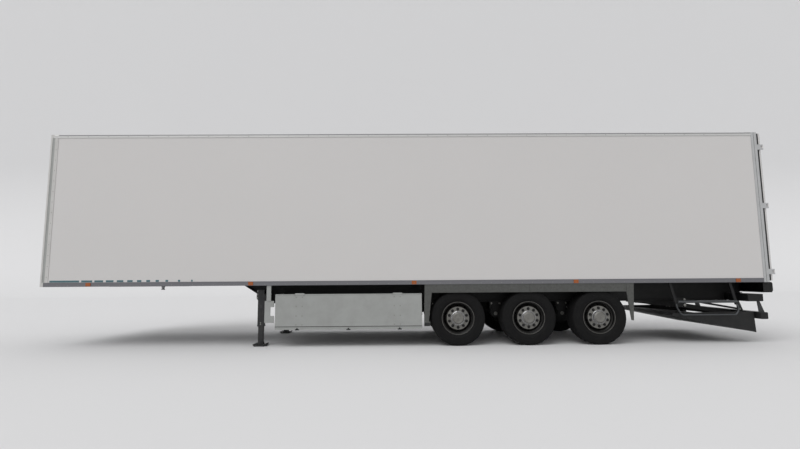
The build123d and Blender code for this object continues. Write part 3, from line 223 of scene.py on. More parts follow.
def make_materials(scene):
    """Every surface of the trailer, by a short name."""
    body, chassis = scene.trailer_body, scene.trailer_chassis
    low_gloss = {"Specular IOR Level": 0.35}
    made = {}
    # Gel coat reads as smooth and slightly glossy: long soft patches, almost no relief
    made["gelcoat"] = surface(
        "gelcoat_panel", body.panel_colour, 0.34, patch_mm=1500, patch=0.015, grain_mm=9, grain=0.02)
    # Painted steel posts have orange peel a few millimetres wide under a clear gloss
    made["post"] = surface(
        "white_painted_steel", "B9B8B6", 0.38, patch_mm=600, patch=0.03, grain_mm=4, grain=0.04,
        soil="7E7B76", soil_amount=0.2)
    # Anodised profiles are drawn lengthwise, so their grain runs along X
    made["rail"] = surface(
        "anodised_aluminium", "737377", 0.42, metallic=0.7, patch_mm=900, patch=0.04, grain_mm=1.5,
        grain=0.04, stretch=(0.03, 1, 1))
    made["roof_rail"] = surface(
        "bright_aluminium", "C4C4C3", 0.4, metallic=0.6, patch_mm=900, patch=0.04, grain_mm=1.5,
        grain=0.04, stretch=(0.03, 1, 1))
    # Brushed profiles stand upright, so their grain runs along Z
    made["frame"] = surface(
        "brushed_aluminium", "B4B5B6", 0.4, metallic=0.5, patch_mm=700, patch=0.05, grain_mm=1.5,
        grain=0.04, stretch=(1, 1, 0.03), soil="6E6D69", soil_amount=0.2)
    # Galvanised sheet shows dull grey patches about the size of a hand
    made["galvanised"] = surface(
        "galvanised_steel", "535452", 0.6, metallic=0.4, patch_mm=90, patch=0.12, grain_mm=3, grain=0.05,
        soil="353432", soil_amount=0.4)
    # Extruded floor planks are bright along the runs of pallets and dull between
    made["planks"] = surface(
        "extruded_aluminium_planks", "A7A8A9", 0.45, metallic=0.8, patch_mm=500, patch=0.08, grain_mm=2,
        grain=0.08, stretch=(0.02, 1, 1))
    # Chassis paint is dark with pale road dust in patches
    made["chassis"] = surface(
        "black_painted_steel", chassis.paint_colour, 0.6, patch_mm=250, patch=0.2, grain_mm=3,
        grain=0.08, soil="211F1D", soil_amount=0.3, **low_gloss)
    # The platform's coating is darker than the chassis and scuffed by road dirt
    made["platform"] = surface(
        "dark_painted_aluminium", "0F1011", 0.55, metallic=0.2, patch_mm=250, patch=0.2, grain_mm=3,
        grain=0.08, soil="2A2826", soil_amount=0.35)
    # The legs' primer is dull, with brown dust in broad patches
    made["leg"] = surface(
        "grey_painted_steel", "1B1C1E", 0.55, patch_mm=200, patch=0.15, grain_mm=3, grain=0.06,
        soil="3E3C38", soil_amount=0.4)
    # Machined steel has fine rings left by the tool and a film of grease
    made["steel"] = surface(
        "machined_steel", "8F9092", 0.32, metallic=1.0, patch_mm=80, patch=0.08, grain_mm=0.8, grain=0.04)
    # Stainless rods are polished lengthwise and mirror the doors
    made["rod"] = surface(
        "stainless_steel", scene.trailer_rear.rod_colour, 0.28, metallic=1.0, patch_mm=300, patch=0.05,
        grain_mm=1, grain=0.04, stretch=(1, 1, 0.03))
    # Worn chrome still mirrors, with a faint haze
    made["chrome"] = surface(
        "worn_chrome", "9A9A9B", 0.26, metallic=1.0, patch_mm=60, patch=0.08, grain_mm=1, grain=0.03)
    # Aluminium castings and sheet that were bare from new go slightly matt
    made["bumper"] = surface(
        "bare_aluminium", "3B3C3E", 0.5, metallic=0.4, patch_mm=300, patch=0.1, grain_mm=2, grain=0.05,
        soil="242321", soil_amount=0.5)
    # Guard tubes have an even satin sheen
    made["guard"] = surface(
        "satin_aluminium_tube", "4E5052", 0.4, metallic=0.7, patch_mm=200, patch=0.08, grain_mm=1,
        grain=0.04)
    # Flap sheet is almost matt, with a thin film of road dirt
    made["flap"] = surface(
        "aluminium_sheet", chassis.flap_colour, 0.42, metallic=0.25, patch_mm=700, patch=0.04,
        grain_mm=2, grain=0.04, soil="6E6D69", soil_amount=0.25)
    # Silver rim paint has brown dirt in patches, and a dark ring over the well and flange that is painted
    # shade of the deep well with some brake dust
    rim_look = dict(
        metallic=0.45, patch_mm=120, patch=0.1, grain_mm=2, grain=0.05, soil="4A4741", soil_amount=0.45)
    # The rim colour holds painted shade, set part way towards the dim light round the wheels
    rim_colour = scene.trailer_wheel.rim_colour
    made["rim"] = surface(
        "silver_painted_steel", rim_colour, 0.42, **rim_look)
    for number in AXLES:
        low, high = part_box(f"wheel_left_{number}")
        middle = ((low[0] + high[0]) / 2, (low[2] + high[2]) / 2)
        made[f"rim_{number}"] = surface(
            f"silver_painted_steel_axle_{number}", rim_colour, 0.42, well_shade_and_brake_dust=(middle, 0.207, 0.2935),
            **rim_look)
    # Brake castings keep a rough sand-cast skin with brown rust
    made["iron"] = surface(
        "cast_iron_skin", "35322F", 0.75, metallic=0.3, patch_mm=60, patch=0.2, grain_mm=4, grain=0.35,
        soil="4E3A2C", soil_amount=0.6)
    # Tyre rubber is matt black with grey dust near the ground
    made["tyre"] = surface(
        "tyre_rubber", "0A0A0B", 0.85, patch_mm=150, patch=0.15, grain_mm=1.5, grain=0.12, soil="1B1A18",
        soil_amount=0.3, **{"Specular IOR Level": 0.25})
    # Bellows and seals are matt black, the seals a little glossier at the grain
    made["bellows"] = surface(
        "moulded_rubber", "181819", 0.7, patch_mm=100, patch=0.15, grain_mm=1.2, grain=0.12)
    made["seal"] = surface(
        "rubber_seal", "151516", 0.62, patch_mm=200, patch=0.1, grain_mm=1, grain=0.1)
    # Lenses are clear coloured plastic, bright through and glossy on top
    made["orange"] = surface(
        "amber_lens_plastic", "8F470C", 0.25, patch_mm=40, patch=0.06, grain_mm=4, grain=0.25,
        **{"Coat Weight": 0.3})
    made["red"] = surface(
        "red_lens_plastic", "8E1512", 0.2, patch_mm=40, patch=0.06, grain_mm=4, grain=0.25,
        **{"Coat Weight": 0.6})
    made["clear"] = surface(
        "clear_lens_plastic", "C9CACB", 0.15, patch_mm=40, patch=0.04, grain_mm=4, grain=0.25,
        **{"Coat Weight": 0.6})
    # Printed tape is even and slightly glossy
    made["tape"] = surface(
        "printed_tape", body.tape_colour, 0.4, patch_mm=120, patch=0.06, grain_mm=2, grain=0.02)
    # Moulded plastic has a fine leather grain
    made["plastic"] = surface(
        "black_moulded_plastic", "141415", 0.55, patch_mm=90, patch=0.08, grain_mm=1, grain=0.12,
        **low_gloss)
    # Zinc plating shows small cloudy flowers
    made["zinc"] = surface(
        "zinc_plated_steel", "8C8C88", 0.4, metallic=0.8, patch_mm=40, patch=0.12, grain_mm=1, grain=0.06)
    return made


# Modelling


def alone(*objects):
    """Selects only these objects and makes the first one active."""
    bpy.ops.object.select_all(action="DESELECT")
    for item in objects:
        item.select_set(True)
    if objects:
        bpy.context.view_layer.objects.active = objects[0]


def settle(item):
    """Puts an object's place, turn and scale into its mesh."""
    alone(item)
    bpy.ops.object.transform_apply(location=True, rotation=True, scale=True)
    return item


def bar(low, high, chamfer=0.0, segments=1):
    """A block between two corners with its edges broken."""
    low, high = Vector(low), Vector(high)
    alone()
    bpy.ops.mesh.primitive_cube_add(size=1, location=(low + high) / 2, scale=high - low)
    item = settle(bpy.context.object)
    if chamfer:
        bpy.ops.object.mode_set(mode="EDIT")
        bpy.ops.mesh.select_all(action="SELECT")
        bpy.ops.mesh.bevel(offset=chamfer, segments=segments, affect="EDGES")
        bpy.ops.object.mode_set(mode="OBJECT")
    return item


def side_bar(side, x_span, y_span, z_span, chamfer):
    """A block whose y values are distances from the middle line on one side."""
    y_low, y_high = sorted((side * y_span[0], side * y_span[1]))
    return bar((x_span[0], y_low, z_span[0]), (x_span[1], y_high, z_span[1]), chamfer)


def rod(start, end, radius, sides=16, chamfer=0.0):
    """A round or many-sided bar from one point to another with its ends broken."""
    start, end = Vector(start), Vector(end)
    along = end - start
    alone()
    bpy.ops.mesh.primitive_cylinder_add(
        vertices=sides, radius=radius, depth=along.length, location=(start + end) / 2,
        rotation=along.to_track_quat("Z", "Y").to_euler())
    item = settle(bpy.context.object)
    if chamfer:
        bpy.ops.object.mode_set(mode="EDIT")
        bpy.ops.mesh.select_mode(type="FACE")
        bpy.ops.mesh.select_all(action="DESELECT")
        bpy.ops.object.mode_set(mode="OBJECT")
        for face in item.data.polygons:
            face.select = len(face.vertices) == sides
        bpy.ops.object.mode_set(mode="EDIT")
        bpy.ops.mesh.bevel(offset=chamfer, segments=1, affect="EDGES")
        bpy.ops.object.mode_set(mode="OBJECT")
    return item


def turned(points, steps=48):
    """A ring turned about the Y axis from (y, radius) points."""
    alone()
    bpy.ops.mesh.primitive_plane_add(size=0.01)
    bpy.ops.object.mode_set(mode="EDIT")
    bpy.ops.mesh.select_mode(type="VERT")
    bpy.ops.mesh.select_all(action="SELECT")
    bpy.ops.mesh.merge(type="CENTER")
    bpy.ops.transform.translate(value=(0, *points[0]))
    for before, after in zip(points, points[1:]):
        step = (0, after[0] - before[0], after[1] - before[1])
        bpy.ops.mesh.extrude_vertices_move(TRANSFORM_OT_translate={"value": step})
    bpy.ops.mesh.select_all(action="SELECT")
    bpy.ops.mesh.spin(steps=steps, angle=math.tau, center=(0, 0, 0), axis=(0, 1, 0))
    bpy.ops.mesh.select_all(action="SELECT")
    bpy.ops.mesh.remove_doubles(threshold=0.00002)
    bpy.ops.mesh.normals_make_consistent(inside=False)
    bpy.ops.object.mode_set(mode="OBJECT")
    return bpy.context.object


def tube(points, radius, bend=0.04, sides=3):
    """A pipe through the given points with rounded bends, as a mesh."""
    curve = bpy.data.curves.new("pipe", "CURVE")
    curve.dimensions = "3D"
    curve.bevel_depth = radius
    curve.bevel_resolution = sides
    curve.use_fill_caps = True
    curve.resolution_u = 6
    spline = curve.splines.new("NURBS")
    spots = [Vector(points[0])]
    for before, corner, after in zip(points, points[1:], points[2:]):
        corner = Vector(corner)
        spots.append(corner + (Vector(before) - corner).normalized() * bend)
        spots.append(corner)
        spots.append(corner + (Vector(after) - corner).normalized() * bend)
    spots.append(Vector(points[-1]))
    spline.points.add(len(spots) - 1)
    for spot, place in zip(spline.points, spots):
        spot.co = (*place, 1)
    spline.order_u = 3
    spline.use_endpoint_u = True
    item = bpy.data.objects.new("pipe", curve)
    bpy.context.collection.objects.link(item)
    alone(item)
    bpy.ops.object.convert(target="MESH")
    return bpy.context.object


def joined(items):
    """Several objects as one."""
    alone(*items)
    if len(items) > 1:
        bpy.ops.object.join()
    return settle(bpy.context.object)


def repeated(item, offsets):
    """Copies of a piece moved by each offset, as one piece."""
    copies = []
    for offset in offsets:
        copy = item.copy()
        copy.data = item.data.copy()
        copy.location = Vector(offset)
        bpy.context.collection.objects.link(copy)
        copies.append(copy)
    bpy.data.objects.remove(item)
    return joined(copies)


def both_sides(item):
    """The piece and its mirror image across the trailer's middle plane."""
    mirror = item.modifiers.new("Mirror", "MIRROR")
    mirror.use_axis = (False, True, False)
    mirror.use_mirror_merge = False
    alone(item)
    bpy.ops.object.modifier_apply(modifier=mirror.name)
    return item


def around(item, centre, count, angle=math.tau, first=0.0):
    """Copies of a piece turned about an axis along Y through centre, as one piece."""
    copies = []
    for index in range(count):
        copy = item.copy()
        copy.data = item.data.copy()
        turn = Matrix.Rotation(first + angle / count * index, 4, "Y")
        copy.data.transform(Matrix.Translation(centre) @ turn @ Matrix.Translation(-Vector(centre)))
        bpy.context.collection.objects.link(copy)
        copies.append(copy)
    bpy.data.objects.remove(item)
    return joined(copies)


def complete(item, name, material, body="trailer", smooth=30):
    """Names a piece, gives it its surface and fixes it to its body."""
    item.name = name
    item.data.name = name
    item.data.materials.clear()
    item.data.materials.append(MATERIALS[material])
    alone(item)
    bpy.ops.object.shade_smooth_by_angle(angle=math.radians(smooth))
    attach(item, body)
    return item


def rivet(centre, radius, height, direction=(0, -1, 0)):
    """A domed rivet head standing off a surface."""
    start, outward = Vector(centre), Vector(direction)
    return rod(start - outward * SEAT, start + outward * height, radius, sides=10, chamfer=height * 0.5)


def bolt(centre, radius, height, direction=(0, -1, 0)):
    """A hexagon head on a round washer."""
    start, outward = Vector(centre), Vector(direction)
    washer_top = start + outward * height * 0.25
    washer = rod(start - outward * SEAT, washer_top, radius * 1.35, sides=14)
    head = rod(washer_top, start + outward * height, radius, sides=6, chamfer=height * 0.12)
    return joined([washer, head])


def pin_heads(x, y, z):
    """The flat heads of an arm's pin and of the link's pin above it, outside their lugs."""
    heads = []
    for height, radius in ((z, 0.027), (z + LINK_RISE, 0.020)):
        heads.append(rod((x, y, height), (x, y + 0.009, height), radius, 20, 0.002))
        heads.append(rod((x, y + 0.008, height), (x, y + 0.013, height), radius * 0.45, 6, 0.001))
    return both_sides(joined(heads))


def station(x):
    """A distance from the front wall as a place along X."""
    return FRONT + x


def wheel_centre(name, number):
    """The middle of a tyre."""
    low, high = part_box(f"tyre_{name}_{number}")
    return (Vector(low) + Vector(high)) / 2


MATERIALS = {}

# Which surface each CAD node has
FINISHES = {
    "gelcoat": ("side_walls", "front_wall", "roof_panel", "door_left", "door_right"),
    "post": ("front_frame",),
    "roof_rail": ("roof_rails",),
    "rail": ("bottom_rails",),
    "galvanised": ("wheel_arch_frames",),
    "frame": ("rear_frame",),
    "planks": ("floor_deck",),
    "chassis": (
        "main_beams", "crossmembers", "coupler_plate", "axle_beams", "hanger_brackets", "trailing_arms",
        "air_tanks", "light_carrier", "lift_bearing", "lift_arms", "lift_links", "rear_sill",
        "guard_hangers"),
    "platform": ("platform_leaf", "platform_tip"),
    "leg": ("landing_legs", "landing_feet", "landing_drive"),
    "steel": ("kingpin",),
    "rod": ("lock_gear_left", "lock_gear_right"),
    "bumper": ("underrun_beam",),
    "guard": ("side_guards",),
    "flap": ("pallet_box", "pallet_flap_left", "pallet_flap_right", "side_plates"),
    "iron": ("brake_units",),
    "bellows": ("air_springs",),
    "orange": ("marker_lamps",),
    "red": ("tail_lamps",),
    "rim_1": ("wheel_left_1", "wheel_right_1"),
    "rim_2": ("wheel_left_2", "wheel_right_2"),
    "rim_3": ("wheel_left_3", "wheel_right_3"),
    "tyre": tuple(f"tyre_{name}_{number}" for _, name in SIDES for number in AXLES),
}


class TRAILER_OT_surfaces(bpy.types.Operator):
    """Give every CAD part its surface"""

    bl_idname = "trailer.surfaces"
    bl_label = "Surfaces"

    def execute(self, context):
        MATERIALS.update(make_materials(context.scene))
        left_over = set(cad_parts)
        for material, names in FINISHES.items():
            for name in names:
                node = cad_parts[name]
                node.data.materials.clear()
                node.data.materials.append(MATERIALS[material])
                left_over.discard(name)
        if left_over:
            raise RuntimeError(f"parts without a surface: {sorted(left_over)}")
        return {"FINISHED"}


class TRAILER_OT_tyres(bpy.types.Operator):
    """Turn the tyres with their grooves and sidewall rings"""

    bl_idname = "trailer.tyres"
    bl_label = "Tyres"

    def execute(self, context):
        depth = context.scene.trailer_wheel.groove_depth
        floor = TREAD_RADIUS - depth
        # Half of the section as (y, radius): bead, sidewall with its rings, shoulder and two grooves
        half = [
            (0.148, 0.286), (0.148, 0.2995), (0.158, 0.305), (0.170, 0.3165), (0.1795, 0.334),
            (0.1835, 0.345), (0.1862, 0.347), (0.1885, 0.360), (0.1900, 0.372), (0.1872, 0.3745),
            (0.1895, 0.392), (0.1890, 0.418), (0.1868, 0.440), (0.1850, 0.446), (0.1862, 0.448),
            (0.1845, 0.462), (0.1812, 0.470), (0.1835, 0.4715), (0.1795, 0.484), (0.170, 0.4935),
            (0.158, TREAD_RADIUS),
            (0.109, TREAD_RADIUS), (0.106, floor), (0.098, floor), (0.095, TREAD_RADIUS),
            (0.042, TREAD_RADIUS), (0.039, floor), (0.031, floor), (0.028, TREAD_RADIUS)]
        profile = half + [(-y, radius) for y, radius in reversed(half)] + [half[0]]
        for _, name in SIDES:
            for number in AXLES:
                tyre = turned(profile, steps=80)
                tyre.location = wheel_centre(name, number)
                settle(tyre)
                wheel = f"wheel_{name}_{number}"
                complete(tyre, f"tyre_tread_{name}_{number}", "tyre", wheel, smooth=40)
                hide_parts(f"tyre_{name}_{number}")
        return {"FINISHED"}


class TRAILER_OT_wheels(bpy.types.Operator):
    """Add nuts, hub caps and valves to the wheels"""

    bl_idname = "trailer.wheels"
    bl_label = "Wheels"

    def execute(self, context):
        settings = context.scene.trailer_wheel
        for side, name in SIDES:
            for number in AXLES:
                body = f"wheel_{name}_{number}"
                centre = wheel_centre(name, number)
                face = centre.y + side * 0.134
                outward = Vector((0, side, 0))
                spot = Vector((centre.x, face, centre.z + settings.nut_circle))
                washer = rod(spot - outward * SEAT, spot + outward * 0.004, 0.0275, 16, 0.001)
                nut = rod(spot + outward * 0.003, spot + outward * 0.026, 0.0215, 6, 0.003)
                cap = rod(spot + outward * 0.025, spot + outward * 0.036, 0.0165, 12, 0.004)
                nuts = around(joined([washer, nut, cap]), centre, settings.nut_count)
                complete(nuts, f"wheel_nuts_{name}_{number}", "plastic", body)
                rim_low = centre.y + side * 0.150
                # Hub cap: a flat middle, a step and a rounded outer edge
                cap = turned([(side * y, radius) for y, radius in (
                    (0.180, 0.0), (0.1985, 0.0), (0.1985, 0.026), (0.1975, 0.030), (0.1975, 0.068),
                    (0.1990, 0.072), (0.1990, 0.084), (0.1975, 0.088), (0.195, 0.0895),
                    (0.180, 0.0895))], steps=40)
                cap.location = centre
                settle(cap)
                complete(cap, f"hub_cap_{name}_{number}", "rim", body)
                # The bright ring is the lip that the hub cap is screwed down with
                lip = turned([(side * y, radius) for y, radius in (
                    (0.145, 0.106), (0.1835, 0.1085), (0.1875, 0.1100), (0.1890, 0.1135), (0.1875, 0.1170),
                    (0.1820, 0.1190), (0.1500, 0.1200), (0.1450, 0.1290), (0.1430, 0.1290),
                    (0.1430, 0.106), (0.145, 0.106))], steps=40)
                lip.location = centre
                settle(lip)
                complete(lip, f"hub_ring_{name}_{number}", "chrome", body)
                valve = tube([
                    (centre.x, rim_low - side * 0.03, centre.z - 0.268),
                    (centre.x, rim_low - side * 0.008, centre.z - 0.262),
                    (centre.x, rim_low + side * 0.002, centre.z - 0.240)], 0.004, bend=0.01)
                complete(valve, f"valve_{name}_{number}", "plastic", body)
        return {"FINISHED"}


class TRAILER_OT_body(bpy.types.Operator):
    """Add the rivets, beads, stripe and roof strips of the box"""

    bl_idname = "trailer.body"
    bl_label = "Box Details"

    def execute(self, context):
        settings = context.scene.trailer_body
        pitch = settings.rivet_pitch
        count = int(12.9 / pitch)
        y = -HALF_WIDTH
        for name, start, height, step, number, slot in (
                ("bottom_rail", 0.35, 1.146, (pitch, 0), count, "rail_grey"),
                ("roof_rail", 0.35, 3.952, (pitch * 2, 0), count // 2, "rail_grey"),
                ("post", 0.142, 1.30, (0, 0.2), 13, "post_white")):
            head = rivet((station(start), y, height), settings.rivet_radius, 0.003)
            places = [(step[0] * index, 0, step[1] * index) for index in range(number)]
            complete(both_sides(repeated(head, places)), f"{name}_rivets", "zinc")
        # A grey profile lies on the floor of each post's groove
        groove_y = y + 0.006
        profile = bar(
            (station(0.0635), groove_y - 0.001, 1.203), (station(0.1095), groove_y + SEAT, 3.923), 0.0005)
        complete(both_sides(profile), "post_profiles", "flap")
        # Beads along the rails stand for the steps of their extruded section
        roof_start, bottom_start = station(ROOF_RAIL_START), station(BOTTOM_RAIL_START)
        rail_end = station(RAIL_END)
        beads = [
            bar((roof_start, y - 0.004, 3.930), (rail_end, y + 0.002, 3.938), 0.0015),
            bar((roof_start, y - 0.003, 3.966), (rail_end, y + 0.002, 3.971), 0.001)]
        complete(both_sides(joined(beads)), "roof_rail_beads", "roof_rail")
        beads = [
            bar((bottom_start, y - 0.005, 1.188), (rail_end, y + 0.002, 1.199), 0.002),
            bar((bottom_start, y - 0.004, 1.123), (rail_end, y + 0.002, 1.131), 0.002)]
        complete(both_sides(joined(beads)), "bottom_rail_beads", "rail")
        # The upper half of the bottom rail and the top edge of the roof rail stand a little proud; both are
        # in the darker rail grey, so the roof rail's top edge shows as a dark line
        bands = [
            bar((bottom_start, y - 0.001, 1.166), (rail_end, y + SEAT, 1.1885), 0.0006),
            bar((bottom_start, y - 0.002, 3.9705), (rail_end, y + SEAT, 3.984), 0.001)]
        complete(both_sides(joined(bands)), "rail_bands", "rail")
        # The stripe over the front end of the bottom rail breaks up into shorter and shorter dashes
        wall = y + 0.006
        dashes = [
            (0.20, 0.74), (0.78, 0.98), (1.02, 1.18), (1.23, 1.37), (1.43, 1.55), (1.62, 1.72),
            (1.80, 1.88), (1.97, 2.04), (2.14, 2.20), (2.32, 2.37), (2.55, 2.59), (2.79, 2.82)]
        strips = [
            bar((station(start), wall - 0.0008, 1.203), (station(end), wall + 0.0005, 1.238), 0.0004)
            for start, end in dashes]
        complete(both_sides(joined(strips)), "stripe_tape", "tape")
        # Covers and seams lie in the shallow recess of the front wall
        wall_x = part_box("front_wall")[0][0]
        covers = [
            bar((wall_x - 0.003, -0.62, 1.235), (wall_x + SEAT, 0.62, 1.275), 0.001),
            bar((wall_x - 0.003, -0.30, 1.32), (wall_x + SEAT, 0.30, 1.47), 0.001)]
        complete(joined(covers), "front_covers", "rail")
        caps = [
            rod((wall_x - 0.0038, middle, 1.395), (wall_x, middle, 1.395), 0.042, 24, 0.0005)
            for middle in (-0.20, -0.07, 0.07, 0.20)]
        complete(joined(caps), "front_caps", "plastic")
        seams = [
            bar((wall_x - 0.0025, middle - 0.02, 1.205), (wall_x + SEAT, middle + 0.02, 3.92), 0.001)
            for middle in (-0.78, 0.78)]
        complete(joined(seams), "front_seams", "gelcoat")
        heads = [
            rivet((wall_x - 0.0015, middle, 1.255), 0.006, 0.002, (-1, 0, 0))
            for middle in (-0.59, -0.36, -0.12, 0.12, 0.36, 0.59)]
        complete(joined(heads), "front_rivets", "zinc")
        # Butt joints of the wheel bay frames, and at the frames' folded foot a near-black patch that is
        # painted shade of the fold
        arch_low, arch_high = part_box("wheel_arch_frames")
        joints = [
            bar((station(x), y - 0.0004, 0.978), (station(x) + 0.006, y + SEAT, 1.118), 0.0002)
            for x in (9.036, 10.828)]
        # This patch is painted shade of the fold at the frame's foot
        joints.append(bar(
            (arch_low[0] + 0.004, y - 0.0015, arch_low[2] + 0.002),
            (arch_low[0] + 0.106, y + SEAT, arch_low[2] + 0.062), 0.0005))
        complete(both_sides(joined(joints)), "arch_joints_and_fold_shade", "seal")
        ribs = [
            bar((arch_low[0] + 0.030, y - 0.003, 0.970), (arch_high[0] - 0.030, y + SEAT, 0.977), 0.001),
            bar((arch_low[0] + 0.030, y - 0.003, 1.108), (arch_high[0] - 0.012, y + SEAT, 1.116), 0.001)]
        complete(both_sides(joined(ribs)), "arch_folds", "galvanised")
        # The rear frame shows as two profiles side by side with a dark line between
        end = station(FRAME_END)
        groove = bar((end - 0.058, y - 0.0006, 1.126), (end - 0.053, y + SEAT, 3.988), 0.0003)
        complete(both_sides(groove), "rear_frame_lines", "seal")
        lips = [
            bar((end - 0.104, y - 0.001, 1.204), (end - 0.097, y + SEAT, 3.922), 0.0005),
            bar((end - 0.052, y - 0.001, 1.126), (end - 0.044, y + SEAT, 3.988), 0.0005),
            bar((end - 0.014, y - 0.001, 1.126), (end - 0.004, y + SEAT, 3.988), 0.0005)]
        complete(both_sides(joined(lips)), "rear_frame_lips", "frame")
        # Joint strips run across the roof
        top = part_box("roof_panel")[1][2]
        strip = bar((station(2.76), -1.19, top - SEAT), (station(2.82), 1.19, top + 0.003), 0.001)
        strips = repeated(strip, [(2.67 * index, 0, 0) for index in range(4)])
        complete(strips, "roof_seams", "roof_rail")
        return {"FINISHED"}


class TRAILER_OT_pallet_box(bpy.types.Operator):
    """Add the bolts, seams and latches of the pallet box flaps"""

    bl_idname = "trailer.pallet_box"
    bl_label = "Pallet Box Details"

    def execute(self, context):
        for side, name in SIDES:
            body = f"pallet_flap_{name}"
            low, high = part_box(body)
            face = max(abs(low[1]), abs(high[1]))
            heads = [
                rivet((station(x), side * face, z), 0.011, 0.004, (0, side, 0))
                for x in (4.73, 4.84, 6.53, 6.64) for z in (0.905, 0.739, 0.565, 0.405)]
            complete(joined(heads), f"flap_rivets_{name}", "zinc", body)
            # A dark rubber line parts the sheet from the lighter profile along its foot
            across = (low[0] + 0.002, high[0] - 0.002)
            line = side_bar(side, across, (face - SEAT, face + 0.0015), (0.366, 0.376), 0.0005)
            complete(line, f"flap_line_{name}", "seal", body)
            across = (low[0] + 0.001, high[0] - 0.001)
            profile = joined([
                side_bar(side, across, (face - SEAT, face + 0.004), z_span, chamfer)
                for z_span, chamfer in (
                    ((0.3185, 0.325), 0.001), ((0.355, 0.364), 0.002), ((0.940, 0.9555), 0.002))])
            complete(profile, f"flap_profile_{name}", "flap", body)
            # Each tongue at the foot carries a dark turning latch
            latches = []
            for x in (low[0] + 0.407, (low[0] + high[0]) / 2, high[0] - 0.407):
                inner, outer = side * (face - SEAT), side * (face + 0.0075)
                latches.append(rod((x, inner, 0.331), (x, outer, 0.331), 0.015, 20, 0.002))
                latches.append(side_bar(
                    side, (x - 0.038, x + 0.038), (face - SEAT, face + 0.006), (0.309, 0.327), 0.005))
            complete(joined(latches), f"flap_latches_{name}", "plastic", body)
        return {"FINISHED"}


class TRAILER_OT_landing_gear(bpy.types.Operator):
    """Add the bolts, reflectors, collars, gear cover and crank grip of the landing legs"""

    bl_idname = "trailer.landing_gear"
    bl_label = "Landing Gear Details"

    def execute(self, context):
        size = context.scene.trailer_chassis.bolt_radius
        leg, half = Vector((station(LEG[0]), LEG[1], 0)), 0.058
        face = leg.y - half
        heads = []
        for x, heights in ((-0.088, (0.89, 0.95, 1.01)), (0.088, (0.98, 1.015))):
            for z in heights:
                heads.append(bolt((leg.x + x, leg.y + half, z), size, 0.012, (0, 1, 0)))
                heads.append(bolt((leg.x + x, leg.y + half - 0.012, z), size, 0.012))
        for z in (0.40, 0.43):
            heads.append(bolt((leg.x, face, z), size * 0.6, 0.006))
        complete(both_sides(joined(heads)), "gusset_bolts", "zinc")
        plate = bar((leg.x - 0.020, face - 0.003, 0.70), (leg.x + 0.024, face + SEAT, 0.75), 0.001)
        complete(both_sides(plate), "leg_reflectors", "bumper")
        # Collars close the outer tubes, and ribs stiffen them up the middle
        reach = half + 0.004
        steel = [
            bar((leg.x - reach, leg.y - reach, 0.359), (leg.x + reach, leg.y + reach, 0.381), 0.003),
            bar((leg.x - 0.008, face - 0.004, 0.46), (leg.x + 0.008, face + SEAT, 0.66), 0.002),
            rod((leg.x, leg.y - 0.066, 0.062), (leg.x, leg.y + 0.066, 0.062), 0.016, 16, 0.003)]
        for side in (-1, 1):
            spot = leg.y + side * 0.064
            steel.append(rod((leg.x, spot, 0.062), (leg.x, spot + side * 0.010, 0.062), 0.026, 6, 0.002))
        complete(both_sides(joined(steel)), "leg_collars", "leg")
        # The gear housing has a bolted cover, a round bearing and a stub with its cross pin
        gear_x, gear_z = station(GEAR[0]), GEAR[1]
        cover = [
            bar((gear_x - 0.032, face - 0.005, gear_z - 0.027),
                (gear_x + 0.032, face + SEAT, gear_z + 0.037), 0.003),
            rod((gear_x, face - 0.020, gear_z), (gear_x, face - 0.003, gear_z), 0.024, 20, 0.003)]
        for x, z in ((-0.025, -0.020), (0.025, -0.020), (-0.025, 0.030), (0.025, 0.030)):
            cover.append(bolt((gear_x + x, face - 0.005, gear_z + z), 0.006, 0.005))
        complete(joined(cover), "gear_cover", "leg")
        grip = joined([
            rod((gear_x, face - 0.119, 0.765), (gear_x, face - 0.064, 0.765), 0.0165, 16, 0.004),
            rod((gear_x, face - 0.078, 0.765), (gear_x, face - 0.072, 0.765), 0.0185, 16, 0.002),
            rod((gear_x, face - 0.110, 0.765), (gear_x, face - 0.104, 0.765), 0.0185, 16, 0.002)])
        complete(grip, "crank_grip", "plastic")
        return {"FINISHED"}


